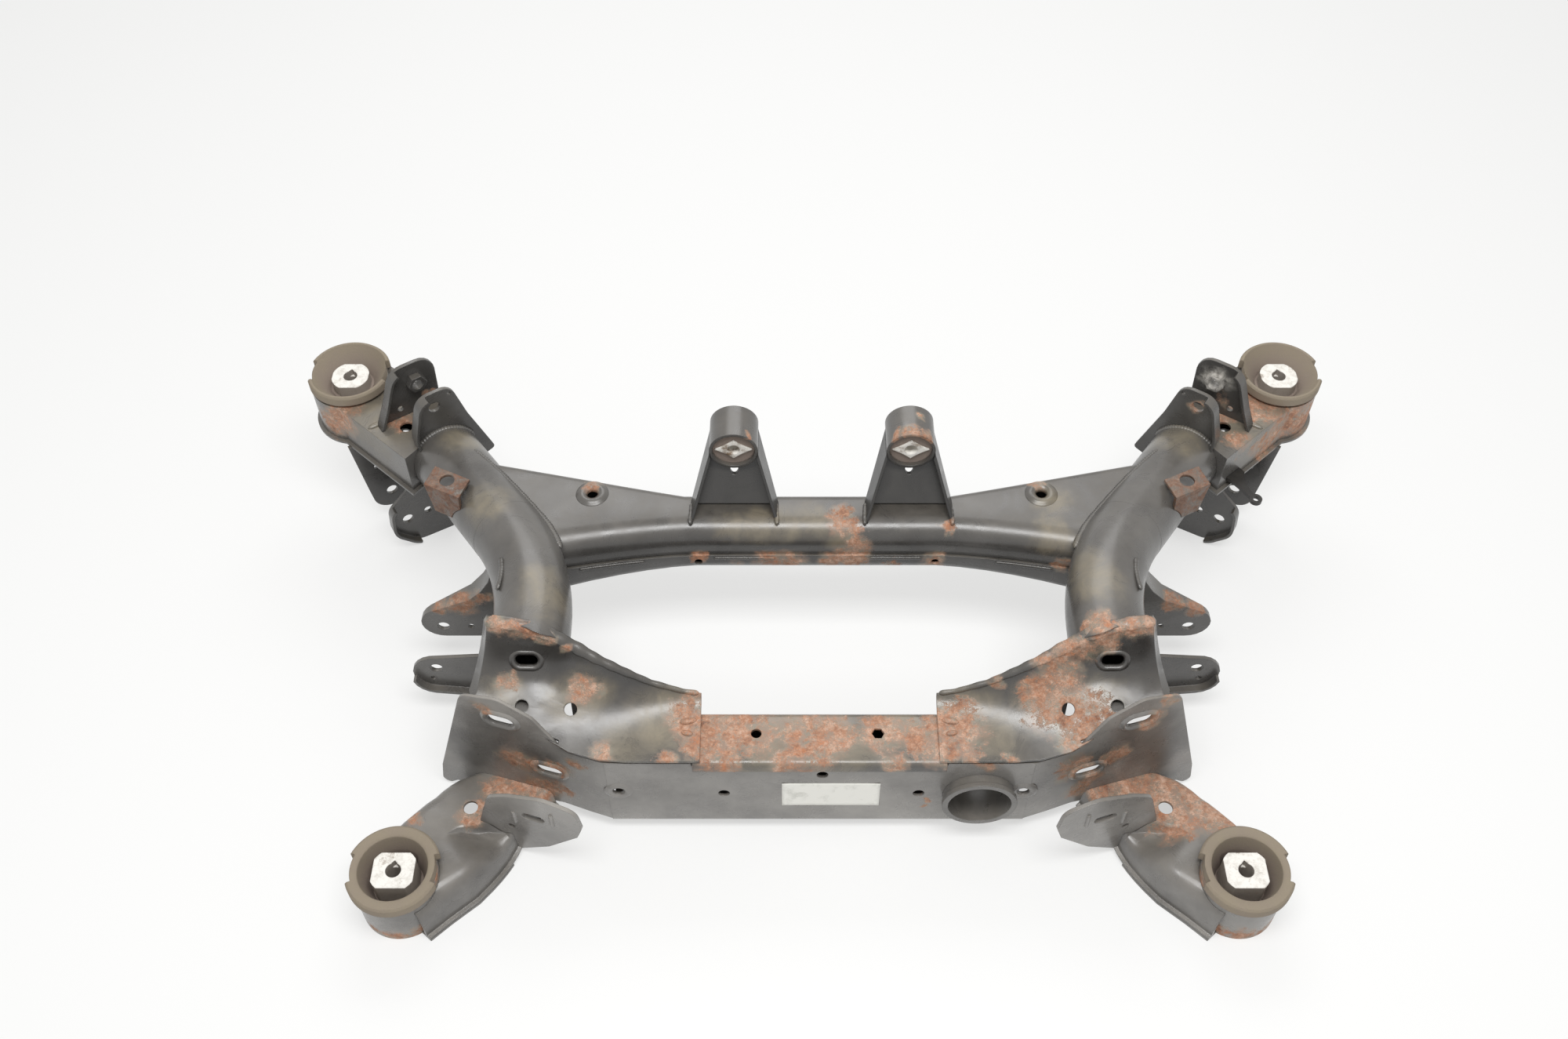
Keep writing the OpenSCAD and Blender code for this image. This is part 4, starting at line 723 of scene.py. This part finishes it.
# rims of the round holes on top of the rear crossmember, and in the front plate
holeSettings = {
    "rear": {"places": ((-226, 90, 186), (226, 90, 186)), "inner": 5.6, "outer": 17, "rise": 3.4},
    "front": {"places": ((-190, -184, 72), (194, -184, 72)), "inner": 5.6, "outer": 14, "rise": 2.0},
}
s = holeSettings["rear"]
rims = [rimRing(p, (1, 0, 0), (0, 1, 0), s["inner"], s["outer"], s["rise"]) for p in s["places"]]
gridPiece("hole_rims_rear", rims, finishes["rear"], form="ring")
s = holeSettings["front"]
rims = [rimRing(p, (1, 0, 0), (0, 0, 1), s["inner"], s["outer"], s["rise"]) for p in s["places"]]
# rims of the slots in the folded link plates: each slot is so far along the plate, and so high
slotSettings = {"fold": 16.4, "corner": (199.5, -183.8), "slots": ((99, 152), (59, 82)),
                "inner": 7.2, "outer": 14.5, "rise": 2.4, "half": 6}
s = slotSettings
fold = math.radians(s["fold"])
for side in (-1, 1):
    across = (math.cos(fold), side * math.sin(fold), 0)
    for along, z in s["slots"]:
        x, y = s["corner"][0] + along * math.cos(fold), s["corner"][1] + along * math.sin(fold)
        rims.append(rimRing((side * x, y, z), across, (0, 0, 1),
                            s["inner"], s["outer"], s["rise"], s["half"]))
gridPiece("hole_rims_front", rims, finishes["plate"], form="ring")

# rolled lip along the top edge of the right wing, with a width for each point
lipSettings = {
    "edge": [(113, -117, 138), (129, -117, 142), (158, -115.5, 154), (186, -112.5, 171), (207, -108.5, 183),
             (227, -103, 195), (246, -98.5, 207), (268, -95.5, 216), (290, -94.5, 221), (301, -93, 220),
             (307, -83, 212)],
    "width": [5, 5, 6, 8, 10, 12, 13, 13, 13, 12, 9],
    "up": (0, -0.35, 0.94), "height": 2.6, "pitch": 40, "ripple": 0.03, "sides": 16,
}
s = lipSettings
wingBits = [bead(s["edge"], s["up"], s["width"], s["height"], s["pitch"], s["ripple"], s["sides"])]
# two small ribs at the wing's inner end, dropped onto it
ribSettings = {"ribs": (((131, -144, 220), (115, -141, 220)), ((129, -154, 220), (118, -156, 220))),
               "points": 12, "width": 6.5, "height": 2.2, "pitch": 30, "ripple": 0.0}
s = ribSettings
for ends in s["ribs"]:
    path, up = dropOnto(np.linspace(*ends, s["points"]), (0, 0, -1), ["wing_right"])
    wingBits.append(bead(path, up, s["width"], s["height"], s["pitch"], s["ripple"]))
# collar round the slot of each wing, set at the mean height of four probes of the wing's own face
collarSettings = {"slot": (271, -110, 183), "tilt": 60, "probes": ((14, 0), (-14, 0), (0, 9), (0, -9)),
                  "from": 30, "inner": 5.7, "outer": 11.5, "rise": 2.0, "half": 5}
s = collarSettings
tilt = math.radians(s["tilt"])
across, upward = np.array([1.0, 0, 0]), np.array([0, math.cos(tilt), math.sin(tilt)])
out = np.cross(across, upward)
starts = np.array([across * a + upward * b for a, b in s["probes"]]) + s["slot"] + s["from"] * out
hits = dropOnto(starts, -out, ["wing_right"])[0]
centre = np.asarray(s["slot"], float) + out * ((hits - s["slot"]) @ out).mean()
collar = rimRing(centre, across, upward, s["inner"], s["outer"], s["rise"], s["half"])
gridPiece("wing_trim_right", wingBits, finishes["wingRight"])
gridPiece("wing_trim_left", [mirrored(g) for g in wingBits], finishes["wingLeft"])
gridPiece("wing_collar_right", [collar], finishes["wingRight"], form="ring")
gridPiece("wing_collar_left", [mirrored(collar)], finishes["wingLeft"], form="ring")

# blank label on the front plate: a thin sheet, its corners lifted by high powers of the distance
# from its middle
labelSettings = {"x": (-35, 58), "z": (46, 87), "y": -184.15, "curl": 0.5, "curlX": 8, "curlZ": 4,
                 "grid": (24, 12), "thick": 0.15}
s = labelSettings
u, v = np.meshgrid(*(np.linspace(0, 1, count) for count in s["grid"]), indexing="ij")
lift = s["curl"] * np.abs(2 * u - 1) ** s["curlX"] * np.abs(2 * v - 1) ** s["curlZ"]
sheet = np.stack([s["x"][0] + u * (s["x"][1] - s["x"][0]), s["y"] - lift,
                  s["z"][0] + v * (s["z"][1] - s["z"][0])], -1)
label = gridPiece("blank_label", [sheet], finishes["label"], form="sheet")
thick = label.modifiers.new("thickness", "SOLIDIFY")
thick.thickness, thick.offset = s["thick"] * mm, 1
print("rims and label made")

# plain pale floor: matt and nearly white paint, and what the camera and mirrors see of it is lifted
# towards white
floorSettings = {"half": 4.0, "colour": "#fafaf9", "lift": 0.6, "roughness": 0.8, "specular": 0.1}
s = floorSettings
half = s["half"]
floorMesh = bpy.data.meshes.new("floor")
floorMesh.from_pydata([(-half, -half, 0), (half, -half, 0), (half, half, 0), (-half, half, 0)], [],
                      [(0, 1, 2, 3)])
floor = bpy.data.objects.new("floor", floorMesh)
bpy.context.scene.collection.objects.link(floor)
floorPaint, tree, shader = newMaterial("floor_paint")
plug(tree, shader, {"Base Color": hexColour(s["colour"]), "Roughness": s["roughness"],
                    "Specular IOR Level": s["specular"]})
rays = addNode(tree, "ShaderNodeLightPath", {}, {}).outputs
seen = addNode(tree, mathNode, highest, {0: rays["Is Glossy Ray"], 1: rays["Is Transmission Ray"]}, 0)
seen = addNode(tree, mathNode, highest, {0: rays["Is Camera Ray"], 1: seen}, 0)
seen = addNode(tree, mathNode, multiply, {0: seen, 1: s["lift"]}, 0)
glow = addNode(tree, "ShaderNodeEmission", {}, {"Color": hexColour(s["colour"]), "Strength": 1.0}, 0)
blend = addNode(tree, "ShaderNodeMixShader", {}, {0: seen, 1: shader.outputs[0], 2: glow}, 0)
plug(tree, tree.nodes["Material Output"], {"Surface": blend})
floorMesh.materials.append(floorPaint)

# soft studio light: a pale room, one softbox above the part and one behind it
lightSettings = {
    "world": 0.42, "seen": 0.9,
    # energy in watts, width and depth in metres, place, turn about x in degrees
    "lamps": {"softbox_top": (33.0, 1.6, 0.6, (0.05, -0.60, 2.15), 16),
              "softbox_back": (12.5, 1.7, 0.9, (-0.05, 1.55, 1.75), -43)},
}
s = lightSettings
world = bpy.data.worlds.new("studio")
bpy.context.scene.world = world
world.use_nodes = True
# the room is white to the eye and in reflections, and lights the part at a plain level
tree = world.node_tree
rays = addNode(tree, "ShaderNodeLightPath", {}, {}).outputs
seen = addNode(tree, mathNode, plus, {0: rays["Is Camera Ray"], 1: rays["Is Glossy Ray"]}, 0)
seen = addNode(tree, mathNode, plus, {0: seen, 1: rays["Is Transmission Ray"]}, 0)
level = addNode(tree, rangeNode, {}, {0: seen, 1: 0.0, 2: 1.0, 3: s["world"], 4: s["seen"]}, 0)
plug(tree, tree.nodes["Background"], {"Color": (1, 1, 1, 1), "Strength": level})
for name, (energy, wide, deep, place, turn) in s["lamps"].items():
    lampData = bpy.data.lights.new(name, "AREA")
    lampData.shape, lampData.energy, lampData.size, lampData.size_y = "RECTANGLE", energy, wide, deep
    lamp = bpy.data.objects.new(name, lampData)
    bpy.context.scene.collection.objects.link(lamp)
    lamp.location = place
    lamp.rotation_euler = (math.radians(turn), 0, 0)

# camera at the photograph's viewing angle
cameraSettings = {"place": (-0.033, -0.9125, 1.349), "tilt": 39.8, "lens": 35.01, "sensor": 36.0}
s = cameraSettings
cameraData = bpy.data.cameras.new("camera")
cameraData.sensor_width, cameraData.sensor_fit = s["sensor"], "HORIZONTAL"
cameraData.lens = s["lens"]
camera = bpy.data.objects.new("camera", cameraData)
bpy.context.scene.collection.objects.link(camera)
camera.location = s["place"]
camera.rotation_euler = (math.radians(s["tilt"]), 0, 0)
bpy.context.scene.camera = camera
bpy.context.scene.view_settings.view_transform = "Standard"
print("stage set")
